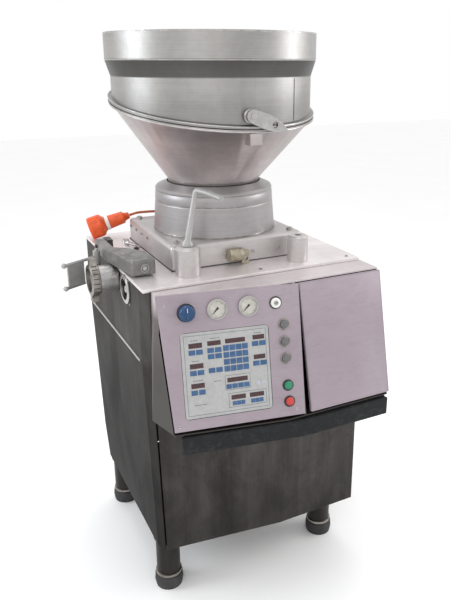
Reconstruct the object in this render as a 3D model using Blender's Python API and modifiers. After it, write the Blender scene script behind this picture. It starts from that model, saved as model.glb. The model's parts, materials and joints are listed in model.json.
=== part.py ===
"""Vacuum sausage filler: a floor-standing machine with a tilting hopper over a vane pump.

Units are metres, +Z is up, the operator stands at -Y. Places are given by at(x, y, z): x from the
cabinet's middle plane (+ to the operator's right), y back from the deck's front edge, z from the floor.
"""

import math

import bmesh
import bpy
from mathutils import Matrix, Vector

# ---- driving dimensions ----
CENTRE_X = 0.0824  # cabinet's middle plane: the outlet fittings reach further left than right
FRONT_Y = -0.2540  # deck's front edge
GAP = 0.0003  # left between pieces that touch
SHEET = 0.003  # cabinet sheet

HALF_WIDTH = 0.37
DECK_DEPTH = 0.685
DECK_TOP = 1.116
DECK_THICK = 0.006
CABINET_BOTTOM = 0.195
CABINET_TOP = DECK_TOP - DECK_THICK - GAP
BEND_Z = 0.87  # crease where the left side starts to lean in
LEAN = 0.018  # how far the left side leans in at the bottom
REAR_BEND_Z = 0.33  # below this the back slopes forward
REAR_SLOPE = 0.03

CONSOLE_TOP = 1.108
CONSOLE_BOTTOM = 0.70
CONSOLE_LEFT = (-0.349, -0.034)  # plan corners of the console's top front edge
CONSOLE_KINK = (0.075, -0.112)
CONSOLE_RIGHT = (0.372, -0.112)
CONSOLE_BACK = -0.003
CONSOLE_TILT = math.radians(12.6)
PANEL_THICK = 0.003
DOOR_THICK = 0.014
PANEL_BOTTOM = 0.402  # down the slope from the console's top edge
PANEL_LEFT_INSET = 0.03

KNEE_RODS_X = (-0.170, 0.260)
KNEE_ROD_Z = 0.662
KNEE_ROD_RADIUS = 0.008

AXIS_Y = 0.342  # hopper, pump and auger share this upright axis, on the middle plane
BLOCK_LOW = (-0.235, 0.128, 1.02)
BLOCK_HIGH = (0.226, 0.577, 1.194)
CHAMBER_RADIUS = 0.150
CHAMBER_FLOOR = 1.036
NECK_TOP = 1.336

SPLIT_Z = 1.595  # height of the hopper's parting plane on the axis
SPLIT_SLOPE_X = -0.022
SPLIT_SLOPE_Y = 0.158
CONE_BOTTOM = 1.360
CONE_RADIUS = 0.153
DRUM_RADIUS = 0.320
RIM_RADIUS = 0.335
STEP_LOW = 1.687
STEP_HIGH = 1.735
RIM_TOP = 1.814
HINGE_BACK = 0.352  # hinge pin behind the hopper's axis
HINGE_Z = SPLIT_Z + SPLIT_SLOPE_Y * HINGE_BACK + 0.003

OUTLET_Y = 0.278
OUTLET_Z = 1.077
OUTLET_END = -0.445
OUTLET_RADIUS = 0.044
OUTLET_BORE = 0.022
PORT_Y = 0.178
PORT_Z = 1.066

LEG_X = 0.305
LEG_FRONT_Y = 0.092
LEG_REAR_Y = 0.622
LEG_RADIUS = 0.0405
FOOT_HEIGHT = 0.036

CORD_RADIUS = 0.0045
COIL_RADIUS = 0.050  # middle of the turns
COIL_TURNS = 3.75
COIL_AT = (0.10, 0.40)

FINISHES = {
    "stainless": ((0.62, 0.61, 0.59), 0.32, 1.0),
    "cabinet": ((0.24, 0.22, 0.21), 0.42, 1.0),
    "bright": ((0.75, 0.75, 0.74), 0.18, 1.0),
    "dark_casting": ((0.10, 0.10, 0.10), 0.50, 0.6),
    "lilac": ((0.47, 0.40, 0.46), 0.45, 0.1),
    "rubber": ((0.02, 0.02, 0.02), 0.75, 0.0),
    "keypad": ((0.66, 0.74, 0.78), 0.50, 0.0),
    "blue": ((0.02, 0.10, 0.32), 0.35, 0.0),
    "grey": ((0.30, 0.31, 0.30), 0.45, 0.0),
    "green": ((0.03, 0.35, 0.20), 0.35, 0.0),
    "red": ((0.60, 0.04, 0.06), 0.35, 0.0),
    "white": ((0.85, 0.85, 0.82), 0.40, 0.0),
    "brass": ((0.66, 0.60, 0.38), 0.40, 0.8),
    "orange": ((0.85, 0.18, 0.02), 0.45, 0.0),
    "motor": ((0.12, 0.16, 0.20), 0.55, 0.2),
}


def clear_scene():
    for obj in list(bpy.data.objects):
        bpy.data.objects.remove(obj, do_unlink=True)


def new_collection(name):
    made = bpy.data.collections.new(name)
    bpy.context.scene.collection.children.link(made)
    return made


clear_scene()
PARTS = new_collection("vacuum_filler")
CUTTERS = new_collection("cutters")


def at(x, y, z):
    return Vector((CENTRE_X + x, FRONT_Y + y, z))


def finish(name):
    made = bpy.data.materials.get(name)
    if made is None:
        colour, roughness, metallic = FINISHES[name]
        made = bpy.data.materials.new(name)
        made.use_nodes = True
        shader = made.node_tree.nodes["Principled BSDF"]
        shader.inputs["Base Color"].default_value = (*colour, 1.0)
        shader.inputs["Roughness"].default_value = roughness
        shader.inputs["Metallic"].default_value = metallic
    return made


def place(name, bm, look, origin=(0, 0, 0), parent=None, turn=None):
    """A named object from a bmesh whose points are measured from origin."""
    mesh = bpy.data.meshes.new(name)
    bmesh.ops.recalc_face_normals(bm, faces=bm.faces)
    bm.to_mesh(mesh)
    bm.free()
    return place_mesh(name, mesh, look, origin, parent, turn)


def place_mesh(name, mesh, look, origin=(0, 0, 0), parent=None, turn=None):
    obj = bpy.data.objects.new(name, mesh)
    obj.location = origin
    if turn:
        obj.rotation_euler = turn
    obj.parent = parent
    mesh.materials.append(finish(look))
    mesh.shade_smooth()
    mesh.set_sharp_from_angle(angle=math.radians(35))
    PARTS.objects.link(obj)
    return obj


def helper(obj):
    """Moves an object to the cutters: it shapes another piece and isn't one itself."""
    PARTS.objects.unlink(obj)
    CUTTERS.objects.link(obj)
    obj.hide_render = True
    obj.display_type = "WIRE"
    return obj


def combine(obj, others, operation):
    for other in others:
        modifier = obj.modifiers.new(operation.lower(), "BOOLEAN")
        modifier.operation = operation
        modifier.object = helper(other)
    return obj


def cut(obj, *others):
    return combine(obj, others, "DIFFERENCE")


def join(obj, *others):
    return combine(obj, others, "UNION")


def bevel(obj, width, segments=2):
    modifier = obj.modifiers.new("bevel", "BEVEL")
    modifier.width = width
    modifier.segments = segments
    modifier.limit_method = "ANGLE"
    modifier.angle_limit = math.radians(50)
    return obj


def block(name, low, high, look, origin=(0, 0, 0), parent=None, turn=None):
    """A box between two corners, which are measured from origin."""
    low, high = Vector(low), Vector(high)
    bm = bmesh.new()
    bmesh.ops.create_cube(bm, size=1)
    bmesh.ops.scale(bm, vec=high - low, verts=bm.verts)
    bmesh.ops.translate(bm, vec=(low + high) / 2, verts=bm.verts)
    return place(name, bm, look, origin, parent, turn)


def rod(name, start, end, radius, look, sides=24, origin=(0, 0, 0), parent=None):
    """A round bar between two points, which are measured from origin."""
    start, end = Vector(start), Vector(end)
    lie = (end - start).to_track_quat("Z", "Y").to_matrix().to_4x4()
    bm = bmesh.new()
    bmesh.ops.create_cone(
        bm, cap_ends=True, segments=sides, radius1=radius, radius2=radius, depth=(end - start).length,
        matrix=Matrix.Translation((start + end) / 2) @ lie,
    )
    return place(name, bm, look, origin, parent)


def plate(name, outline, low, high, look, origin=(0, 0, 0), parent=None, turn=None):
    """A flat outline in local X and Y, thickened from low to high in local Z."""
    bm = bmesh.new()
    base = bm.faces.new([bm.verts.new((x, y, low)) for x, y in outline])
    top = bmesh.ops.extrude_face_region(bm, geom=[base])["geom"]
    moved = [item for item in top if isinstance(item, bmesh.types.BMVert)]
    bmesh.ops.translate(bm, vec=(0, 0, high - low), verts=moved)
    return place(name, bm, look, origin, parent, turn)


def turned(name, profile, look, origin=(0, 0, 0), parent=None, turn=None, steps=48, closed=False):
    """Turns a profile of (radius, z) about local Z. It runs down the outer side, from top to bottom."""
    bm = bmesh.new()
    points = [bm.verts.new((radius, 0, z)) for radius, z in profile]
    for first, second in zip(points, points[1:]):
        bm.edges.new((first, second))
    if closed:
        bm.edges.new((points[-1], points[0]))
    mesh = bpy.data.meshes.new(name)
    bm.to_mesh(mesh)
    bm.free()
    obj = place_mesh(name, mesh, look, origin, parent, turn)
    screw = obj.modifiers.new("turn", "SCREW")
    screw.axis = "Z"
    screw.steps = steps
    screw.render_steps = steps
    screw.use_merge_vertices = True
    screw.merge_threshold = 0.00001
    screw.use_smooth_shade = True
    return obj


def skin(name, columns, look, thickness=SHEET):
    """A bent sheet: each column is a list of points from the top down, and the sheet thickens inwards."""
    bm = bmesh.new()
    grid = [[bm.verts.new(at(*point)) for point in column] for column in columns]
    for left, right in zip(grid, grid[1:]):
        for k in range(len(left) - 1):
            bm.faces.new((left[k], left[k + 1], right[k + 1], right[k]))
    mesh = bpy.data.meshes.new(name)
    bm.to_mesh(mesh)
    bm.free()
    obj = place_mesh(name, mesh, look)
    solidify = obj.modifiers.new("sheet", "SOLIDIFY")
    solidify.thickness = thickness
    solidify.offset = -1
    solidify.use_even_offset = True
    return obj


def wire(name, points, radius, look, origin=(0, 0, 0), resolution=2, scales=None, parent=None):
    """A round bar through points as one poly curve with filled caps."""
    curve = bpy.data.curves.new(name, "CURVE")
    curve.dimensions = "3D"
    curve.bevel_depth = radius
    curve.bevel_resolution = resolution
    curve.use_fill_caps = True
    spline = curve.splines.new("POLY")
    spline.points.add(len(points) - 1)
    for k, (point, target) in enumerate(zip(points, spline.points)):
        target.co = (*point, 1)
        target.radius = scales[k] if scales else 1
    obj = bpy.data.objects.new(name, curve)
    obj.location = origin
    obj.parent = parent
    curve.materials.append(finish(look))
    PARTS.objects.link(obj)
    return obj


def as_mesh(obj):
    """The curve's evaluated shape as a mesh object with its caps welded, ready for a Boolean."""
    bpy.context.view_layer.update()
    graph = bpy.context.evaluated_depsgraph_get()
    mesh = bpy.data.meshes.new_from_object(obj.evaluated_get(graph))
    name, matrix, parent = obj.name, obj.matrix_world.copy(), obj.parent
    bpy.data.objects.remove(obj, do_unlink=True)
    bm = bmesh.new()
    bm.from_mesh(mesh)
    bmesh.ops.remove_doubles(bm, verts=bm.verts, dist=0.00001)
    bm.to_mesh(mesh)
    bm.free()
    made = bpy.data.objects.new(name, mesh)
    made.parent = parent
    made.matrix_world = matrix
    PARTS.objects.link(made)
    return made


def ring_points(radius, z, tilt, count):
    """One ring of a turned shape about the hopper's axis, tilted by a share of the parting plane's slope."""
    points = []
    for k in range(count):
        angle = 2 * math.pi * k / count
        x, y = radius * math.cos(angle), radius * math.sin(angle)
        points.append(at(x, AXIS_Y + y, z + tilt * (SPLIT_SLOPE_X * x + SPLIT_SLOPE_Y * y)))
    return points


def tilted_ring(name, profile, look, count=44):
    """A closed loft through rings of (radius, z, tilt), where sloping rings meet level ones."""
    bm = bmesh.new()
    rings = [[bm.verts.new(p) for p in ring_points(*entry, count)] for entry in profile]
    for ring, after in zip(rings, rings[1:] + rings[:1]):
        for k in range(count):
            bm.faces.new((ring[k], ring[(k + 1) % count], after[(k + 1) % count], after[k]))
    return place(name, bm, look)


def arc(centre, radius, start, end, count):
    """Points of an arc in plan, with angles in degrees."""
    angles = [math.radians(start + (end - start) * k / count) for k in range(count + 1)]
    return [(centre[0] + radius * math.cos(a), centre[1] + radius * math.sin(a)) for a in angles]


def rounded(low, high, radius, count=4):
    """The outline of a rectangle with round corners."""
    (x0, y0), (x1, y1) = low, high
    corners = (
        ((x1 - radius, y0 + radius), -90), ((x1 - radius, y1 - radius), 0),
        ((x0 + radius, y1 - radius), 90), ((x0 + radius, y0 + radius), 180),
    )
    return [p for centre, start in corners for p in arc(centre, radius, start, start + 90, count)]


# ---- cabinet ----
def side_x(z):
    """Left side's face: upright above the crease, leaning in below it."""
    if z >= BEND_Z:
        return -HALF_WIDTH
    return -HALF_WIDTH + LEAN * (BEND_Z - z) / (BEND_Z - CABINET_BOTTOM)


def rear_y(z):
    """Rear face: upright, then sloping forward near the bottom."""
    if z >= REAR_BEND_Z:
        return DECK_DEPTH - 0.004
    return DECK_DEPTH - 0.004 - REAR_SLOPE * (REAR_BEND_Z - z) / (REAR_BEND_Z - CABINET_BOTTOM)


def build_cabinet():
    heights = (CABINET_TOP, BEND_Z, REAR_BEND_Z, CABINET_BOTTOM)
    front_left = [(side_x(z) + 0.016, 0.006 + 0.016 * (CABINET_TOP - z), z) for z in heights]
    fold = [(side_x(z) + 0.002, 0.055, z) for z in heights]
    rear_left = [(side_x(z), rear_y(z), z) for z in heights]
    left = skin("left_side_panel", [rear_left, fold, front_left], "cabinet")
    outlet_hole = rod("outlet_hole", at(-0.5, OUTLET_Y, OUTLET_Z), at(-0.3, OUTLET_Y, OUTLET_Z), 0.0308, "grey")
    port_hole = rod("port_hole", at(-0.5, PORT_Y, PORT_Z), at(-0.3, PORT_Y, PORT_Z), 0.034, "grey")
    cut(left, outlet_hole, port_hole)

    right_columns = [
        [(HALF_WIDTH, 0.0, z) for z in heights],
        [(HALF_WIDTH, rear_y(z), z) for z in heights],
    ]
    skin("right_side_panel", right_columns, "cabinet")

    low, high = CABINET_BOTTOM, CONSOLE_BOTTOM - 0.002
    front_columns = [
        [(side_x(z) + 0.0215, 0.003 + 0.016 * (CABINET_TOP - z), z) for z in (high, low)],
        [(0.07, -0.030, z) for z in (high, low)],
        [(HALF_WIDTH, -0.026, z) for z in (high, low)],
        [(HALF_WIDTH, -0.001, z) for z in (high, low)],
    ]
    front = skin("front_panel", front_columns, "cabinet")

    for k, x in enumerate(KNEE_RODS_X):
        cut(front, rod(f"knee_rod_hole_{k}", at(x, -0.08, KNEE_ROD_Z), at(x, 0.08, KNEE_ROD_Z),
                       KNEE_ROD_RADIUS + 0.0008, "grey", 16))

    base = plate(
        "base_plate",
        [(-0.344, 0.064), (-0.328, 0.031), (0.07, -0.022), (0.364, -0.018), (0.364, 0.640), (-0.344, 0.640)],
        CABINET_BOTTOM + 0.001, CABINET_BOTTOM + 0.009, "cabinet", at(0, 0, 0),
    )
    gland_hole = rod("gland_hole", at(0.24, 0.52, 0.15), at(0.24, 0.52, 0.25), 0.0125, "grey")
    cut(base, gland_hole)

    deck = block("deck_plate", (-HALF_WIDTH, 0, DECK_TOP - DECK_THICK), (HALF_WIDTH, DECK_DEPTH, DECK_TOP),
                 "stainless", at(0, 0, 0))
    clearance = 0.0005
    opening = block(
        "deck_opening",
        (BLOCK_LOW[0] - clearance, BLOCK_LOW[1] - clearance, 1.0),
        (BLOCK_HIGH[0] + clearance, BLOCK_HIGH[1] + clearance, 1.2), "grey", at(0, 0, 0),
    )
    cut(deck, opening)


def build_rear_panel():
    """One bent sheet that is screwed over the open back."""
    outer = GAP + SHEET
    heights = (CABINET_TOP - 0.004, REAR_BEND_Z, CABINET_BOTTOM + 0.004)
    right = [(HALF_WIDTH - 0.001, rear_y(z) + outer, z) for z in heights]
    left = [(side_x(z) + 0.001, rear_y(z) + outer, z) for z in heights]
    skin("rear_panel", [right, left], "cabinet")


def build_legs():
    bore = LEG_RADIUS + 0.0004
    for end, y in (("front", LEG_FRONT_Y), ("rear", LEG_REAR_Y)):
        for side, x in (("left", -LEG_X), ("right", LEG_X)):
            turned(
                f"leg_{end}_{side}",
                [(0, CABINET_BOTTOM + 0.0007), (LEG_RADIUS, CABINET_BOTTOM + 0.0007), (LEG_RADIUS, 0.030),
                 (0.030, 0.028), (0, 0.028)],
                "cabinet", at(x, y, 0), steps=28,
            )
            turned(
                f"foot_{end}_{side}",
                [(bore, FOOT_HEIGHT + 0.012), (bore + 0.006, FOOT_HEIGHT + 0.008), (bore + 0.008, 0.022),
                 (bore + 0.004, 0.0), (0, 0.0), (0, 0.0275), (0.0302, 0.0275), (bore, 0.0295)],
                "rubber", at(x, y, 0), steps=28, closed=True,
            )


# ---- console ----
def front_line(z, left_back=0.0, right_back=0.0):
    """Plan corners of the sloping front at height z, with each face moved back from its surface."""
    drop = (CONSOLE_TOP - z) * math.tan(CONSOLE_TILT)
    left, kink, right = Vector(CONSOLE_LEFT), Vector(CONSOLE_KINK), Vector(CONSOLE_RIGHT)
    along = (kink - left).normalized()
    out = Vector((along.y, -along.x))
    left_drop, right_drop = drop - left_back, drop - right_back
    to_corner = (-right_drop - out.y * left_drop) / along.y
    return left + out * left_drop, kink + out * left_drop + along * to_corner, right - Vector((0, right_drop))


def console_loft(name, levels, inset_left, inset_right, back_y, depths, look="stainless"):
    """Closed loft between plan outlines at two heights, following the sloping front."""
    bm = bmesh.new()
    loops = []
    for z in levels:
        left, kink, right = front_line(z, *depths)
        slip = PANEL_LEFT_INSET * (CONSOLE_TOP - z) / (CONSOLE_TOP - CONSOLE_BOTTOM)
        outline = [
            (left.x + inset_left + slip, left.y), (kink.x, kink.y), (right.x - inset_right, right.y),
            (right.x - inset_right, back_y), (left.x + inset_left, back_y),
        ]
        loops.append([bm.verts.new(at(x, y, z)) for x, y in outline])
    low, high = loops
    count = len(low)
    for k in range(count):
        bm.faces.new((low[k], low[(k + 1) % count], high[(k + 1) % count], high[k]))
    bm.faces.new(low)
    bm.faces.new(high)
    return place(name, bm, look)


def build_console():
    housing = console_loft("console_housing", (CONSOLE_BOTTOM, CONSOLE_TOP), 0.002, 0.0, CONSOLE_BACK,
                           (PANEL_THICK + 2 * GAP, DOOR_THICK + 3 * GAP))
    hollow = console_loft("console_hollow", (CONSOLE_BOTTOM + 0.004, CONSOLE_TOP - 0.004), 0.018, 0.004,
                          CONSOLE_BACK + 0.05, (-0.05, -0.05))
    divider = block("console_divider", (0.060, -0.3, CONSOLE_BOTTOM - 0.01), (0.068, 0.1, CONSOLE_TOP + 0.01),
                    "stainless", at(0, 0, 0))
    cut(hollow, divider)
    cut(housing, hollow)

    yaw = math.atan2(CONSOLE_KINK[1] - CONSOLE_LEFT[1], CONSOLE_KINK[0] - CONSOLE_LEFT[0])
    frame = bpy.data.objects.new("panel_frame", None)
    frame.location = at(*CONSOLE_LEFT, CONSOLE_TOP)
    frame.rotation_euler = (math.pi / 2 - CONSOLE_TILT, 0, yaw)
    PARTS.objects.link(frame)
    build_control_panel(frame)
    build_controls(frame)
    build_electrics_door()


KEYPAD_LOW = (0.064, -0.370)
KEYPAD_HIGH = (0.328, -0.116)
GAUGES = (("pressure", 0.177), ("vacuum", 0.270))
GAUGE_V = -0.055
GAUGE_BODY = 0.026
KNOB_AT = (0.087, -0.057)
KEY_AT = (0.354, -0.054)
BUTTONS = (
    ("grey_button_upper", "grey", (0.376, -0.120)), ("grey_button_middle", "grey", (0.376, -0.172)),
    ("grey_button_lower", "grey", (0.377, -0.223)), ("start_button", "green", (0.379, -0.306)),
    ("stop_button", "red", (0.381, -0.356)),
)
BUTTON_RADIUS = 0.0125


def build_control_panel(frame):
    """Flat lilac plate with openings for everything that the operator reads or presses."""
    width = (Vector(CONSOLE_KINK) - Vector(CONSOLE_LEFT)).length
    outline = [(PANEL_LEFT_INSET, -PANEL_BOTTOM), (width - 0.002, -PANEL_BOTTOM), (width - 0.002, -0.003),
               (0.003, -0.003)]
    panel = plate("control_panel", outline, -PANEL_THICK, 0, "lilac", parent=frame)
    window = rounded((KEYPAD_LOW[0] - 0.0005, KEYPAD_LOW[1] - 0.0005),
                     (KEYPAD_HIGH[0] + 0.0005, KEYPAD_HIGH[1] + 0.0005), 0.0125)
    holes = [plate("keypad_window", window, -0.02, 0.02, "grey", parent=frame)]
    for name, u in GAUGES:
        holes.append(rod(f"{name}_hole", (u, GAUGE_V, -0.02), (u, GAUGE_V, 0.02), GAUGE_BODY + 0.0005, "grey",
                         parent=frame))
    for name, (u, v) in (("knob_hole", KNOB_AT), ("key_hole", KEY_AT)):
        holes.append(rod(name, (u, v, -0.02), (u, v, 0.02), 0.0085, "grey", sides=16, parent=frame))
    for name, _, (u, v) in BUTTONS:
        holes.append(rod(f"{name}_hole", (u, v, -0.02), (u, v, 0.02), BUTTON_RADIUS + 0.0006, "grey", sides=20,
                         parent=frame))
    cut(panel, *holes)
    plate("keypad", rounded(KEYPAD_LOW, KEYPAD_HIGH, 0.012), -0.0055, -0.0015, "keypad", parent=frame)


def build_controls(frame):
    for name, u in GAUGES:
        case = [(0.0300, 0.0070), (0.0300, 0.0003), (GAUGE_BODY, 0.0003), (GAUGE_BODY, -0.022), (0, -0.022),
                (0, 0.0020), (0.0265, 0.0020), (0.0265, 0.0070)]
        turned(f"{name}_gauge", case, "bright", (u, GAUGE_V, 0), frame, steps=36, closed=True)
        needle = [(-0.0030, -0.006), (0.0030, -0.006), (0.0008, 0.019), (-0.0008, 0.019)]
        plate(f"{name}_needle", needle, 0.0030, 0.0036, "rubber", (u, GAUGE_V, 0), frame,
              turn=(0, 0, math.radians(135)))
    turned("selector_knob", [(0, 0.026), (0.019, 0.026), (0.0225, 0.022), (0.0225, 0.0006), (0.0080, 0.0006),
                             (0.0080, -0.018), (0, -0.018)], "blue", (*KNOB_AT, 0), frame, steps=28)
    turned("key_switch", [(0, 0.009), (0.0135, 0.009), (0.0150, 0.007), (0.0150, 0.0006), (0.0080, 0.0006),
                          (0.0080, -0.020), (0, -0.020)], "white", (*KEY_AT, 0), frame, steps=24)
    for name, look, (u, v) in BUTTONS:
        turned(name, [(0, 0.0080), (BUTTON_RADIUS - 0.002, 0.0080), (BUTTON_RADIUS, 0.0060),
                      (BUTTON_RADIUS, -0.012), (0, -0.012)], look, (u, v, 0), frame, steps=20)


def build_electrics_door():
    """Right-hand cover, a shallow tray hung on its right edge and tilted like the console's front."""
    hinge = bpy.data.objects.new("electrics_hinge", None)
    hinge.location = at(*CONSOLE_RIGHT, CONSOLE_TOP)
    hinge.rotation_euler = (math.pi / 2 - CONSOLE_TILT, 0, 0)
    PARTS.objects.link(hinge)
    width = CONSOLE_RIGHT[0] - CONSOLE_KINK[0]
    outline = [(0.004 - width, -PANEL_BOTTOM), (0, -PANEL_BOTTOM), (0, -0.003), (0.0015 - width, -0.003)]
    door = plate("electrics_door", outline, -DOOR_THICK, 0, "lilac", parent=hinge)
    bevel(door, 0.003, 2)


def build_knee_bar():
    """Start bar under the console's lip: pressed back with the knee, it slides on two rods in the front panel."""
    top, bottom = CONSOLE_BOTTOM - 0.007, 0.632
    left, kink, right = front_line(CONSOLE_BOTTOM)
    slope = (left.y - kink.y) / (left.x - kink.x)

    def board(name, x0, x1, front, depth, z0, z1):
        xs = sorted({x0, kink.x, x1})
        ys = [kink.y + (slope * (x - kink.x) if x < kink.x else 0) + front for x in xs]
        outline = list(zip(xs, ys)) + [(x, y + depth) for x, y in reversed(list(zip(xs, ys)))]
        return plate(name, outline, z0, z1, "rubber", at(0, 0, 0))

    bar = board("knee_bar", left.x + 0.06, right.x - 0.004, 0.020, 0.012, bottom + 0.004, top)
    for k, x in enumerate(KNEE_RODS_X):
        front = kink.y + (slope * (x - kink.x) if x < kink.x else 0) + 0.026
        join(bar, rod(f"knee_rod_{k}", at(x, front, KNEE_ROD_Z), at(x, 0.028, KNEE_ROD_Z), KNEE_ROD_RADIUS,
                      "bright", 16))
    pad = board("knee_pad", left.x + 0.052, right.x, 0.008, 0.0117, bottom, top - 0.001)
    bevel(pad, 0.003, 1)


# ---- pump and hopper ----
def build_pump():
    housing = block("pump_housing", BLOCK_LOW, BLOCK_HIGH, "stainless", at(0, 0, 0))
    bevel(housing, 0.012, 3)
    chamber = rod("pump_chamber", at(0, AXIS_Y, CHAMBER_FLOOR), at(0, AXIS_Y, 1.25), CHAMBER_RADIUS, "grey", 48)
    delivery = rod("delivery_bore", at(-0.3, OUTLET_Y, OUTLET_Z), at(-0.1, OUTLET_Y, OUTLET_Z), OUTLET_BORE,
                   "grey", 20)
    shaft_hole = rod("shaft_hole", at(0, AXIS_Y, 0.95), at(0, AXIS_Y, 1.10), 0.0215, "grey", 20)
    cut(housing, chamber, delivery, shaft_hole)

    origin = at(0, AXIS_Y, 0)
    rotor = turned("pump_rotor", [(0, 1.176), (0.122, 1.176), (0.122, 1.042), (0.021, 1.042), (0.021, 1.012),
                                  (0, 1.012)], "bright", origin, steps=36)
    vanes = []
    for k in range(4):
        angle = math.pi * k / 4
        vane = block(f"vane_{k}", (-0.1465, -0.004, 1.046), (0.1465, 0.004, 1.172), "bright", origin)
        vane.rotation_euler = (0, 0, angle)
        vanes.append(vane)
    join(rotor, *vanes)

    neck = [(CONE_RADIUS + 0.0045, 1.352), (0.192, NECK_TOP + 0.001), (0.196, NECK_TOP - 0.004),
            (0.1965, 1.327), (0.1945, 1.325), (0.1967, 1.322), (0.1985, 1.294), (0.1968, 1.291), (0.1990, 1.287),
            (0.206, BLOCK_HIGH[2] + GAP), (0.200, BLOCK_HIGH[2] + GAP), (0.190, NECK_TOP - 0.006),
            (CONE_RADIUS + 0.0045, 1.347)]
    turned("hopper_neck", neck, "stainless", at(0, AXIS_Y, 0), steps=40, closed=True)


def auger_flight():
    """Helical blade as one closed loft: a rectangle carried up and round the shaft."""
    turns, low, high, inner, outer, thick = 1.25, 1.215, 1.40, 0.018, 0.125, 0.005
    count = 30
    bm = bmesh.new()
    sections = []
    for k in range(count + 1):
        share = k / count
        angle = 2 * math.pi * turns * share
        z = low + (high - low) * share
        corners = [(inner, z), (outer, z), (outer, z + thick), (inner, z + thick)]
        sections.append([bm.verts.new((r * math.cos(angle), r * math.sin(angle), h)) for r, h in corners])
    for first, second in zip(sections, sections[1:]):
        for k in range(4):
            bm.faces.new((first[k], first[(k + 1) % 4], second[(k + 1) % 4], second[k]))
    bm.faces.new(sections[0])
    bm.faces.new(sections[-1])
    return place("auger_flight", bm, "bright", at(0, AXIS_Y, 0))


def build_auger():
    auger = turned("feed_auger", [(0, 1.452), (0.014, 1.450), (0.024, 1.430), (0.024, 1.1765 + GAP),
                                  (0, 1.1765 + GAP)], "bright", at(0, AXIS_Y, 0), steps=24)
    join(auger, auger_flight())


def build_drive():
    floor = BLOCK_LOW[2]
    profile = [(0, floor - GAP - 0.009), (0.020, floor - GAP - 0.009), (0.020, floor - 0.02),
               (0.120, floor - 0.02), (0.120, 0.90), (0.085, 0.885), (0.085, 0.60), (0.070, 0.585), (0, 0.585)]
    motor = turned("drive_motor", profile, "motor", at(0, AXIS_Y, 0), steps=32)
    flange = block("motor_flange", (-0.13, -0.13, floor - 0.022), (0.13, 0.13, floor - GAP), "motor",
                   at(0, AXIS_Y, 0))
    bore = rod("motor_bore", at(0, AXIS_Y, floor - 0.0085), at(0, AXIS_Y, floor + 0.01), 0.030, "grey")
    join(motor, flange)
    cut(motor, bore)

    pump = turned("vacuum_pump", [(0, 0.30), (0.06, 0.30), (0.085, 0.285), (0.085, 0.10), (0.11, 0.095),
                                  (0.11, 0.015), (0.07, 0), (0, 0)], "motor",
                  at(-0.16, 0.30, 0.33), turn=(0, math.pi / 2, 0), steps=28)
    stand = block("vacuum_pump_stand", (-0.10, 0.24, CABINET_BOTTOM + 0.0095), (0.10, 0.36, 0.30), "motor",
                  at(0, 0, 0))
    join(pump, stand)


def build_hopper():
    lower = tilted_ring("lower_hopper", [
        (0.3310, SPLIT_Z - 0.0005, 1), (0.3310, SPLIT_Z - 0.0080, 1), (0.3210, SPLIT_Z - 0.0100, 1),
        (CONE_RADIUS, CONE_BOTTOM, 0), (CONE_RADIUS, 1.325, 0), (CONE_RADIUS - 0.004, 1.325, 0),
        (CONE_RADIUS - 0.004, CONE_BOTTOM + 0.002, 0), (0.3160, SPLIT_Z - 0.0105, 1),
        (0.3160, SPLIT_Z - 0.0005, 1),
    ], "stainless")
    tilted_ring("hopper_seal", [
        (0.3290, SPLIT_Z + 0.0025, 1), (0.3290, SPLIT_Z, 1), (0.3190, SPLIT_Z, 1), (0.3190, SPLIT_Z + 0.0025, 1),
    ], "rubber")
    upper = tilted_ring("upper_hopper", [
        (0.3310, SPLIT_Z + 0.0110, 1), (0.3310, SPLIT_Z + 0.0030, 1), (0.3165, SPLIT_Z + 0.0030, 1),
        (0.3165, STEP_LOW, 0), (RIM_RADIUS - 0.0035, STEP_HIGH, 0), (RIM_RADIUS - 0.0035, RIM_TOP, 0),
        (RIM_RADIUS, RIM_TOP, 0), (RIM_RADIUS, STEP_HIGH, 0), (DRUM_RADIUS, STEP_LOW, 0),
        (DRUM_RADIUS, SPLIT_Z + 0.0130, 1),
    ], "stainless")

    hinge = at(0, AXIS_Y + HINGE_BACK, HINGE_Z)
    ears = []
    for side in (-1, 1):
        near, far = side * 0.045 - 0.008, side * 0.045 + 0.008
        ears.append(block(f"hinge_foot_{side}", (near, -0.032, -0.045), (far, 0.010, -0.0125), "stainless",
                          hinge))
        ears.append(block(f"hinge_ear_{side}", (near + 0.001, -0.0185, -0.030), (far - 0.001, 0.012, 0.012),
                          "stainless", hinge))
    knuckle = [
        rod("hinge_knuckle", (-0.0365, 0, 0), (0.0365, 0, 0), 0.013, "stainless", 20, hinge),
        block("hinge_strap", (-0.0360, -0.035, 0.004), (0.0360, 0.002, 0.012), "stainless", hinge),
    ]
    join(lower, *ears)
    join(upper, *knuckle)
    for section, name in ((lower, "lower"), (upper, "upper")):
        cut(section, rod(f"hinge_pin_hole_{name}", (-0.07, 0, 0), (0.07, 0, 0), 0.0063, "grey", 16, hinge))
    rod("hopper_hinge_pin", (-0.058, 0, 0), (0.058, 0, 0), 0.0058, "bright", 16, hinge)
    build_hopper_clamp(lower, upper)


CLAMP_X = -0.020
CLAMP_Z = 1.583


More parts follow.
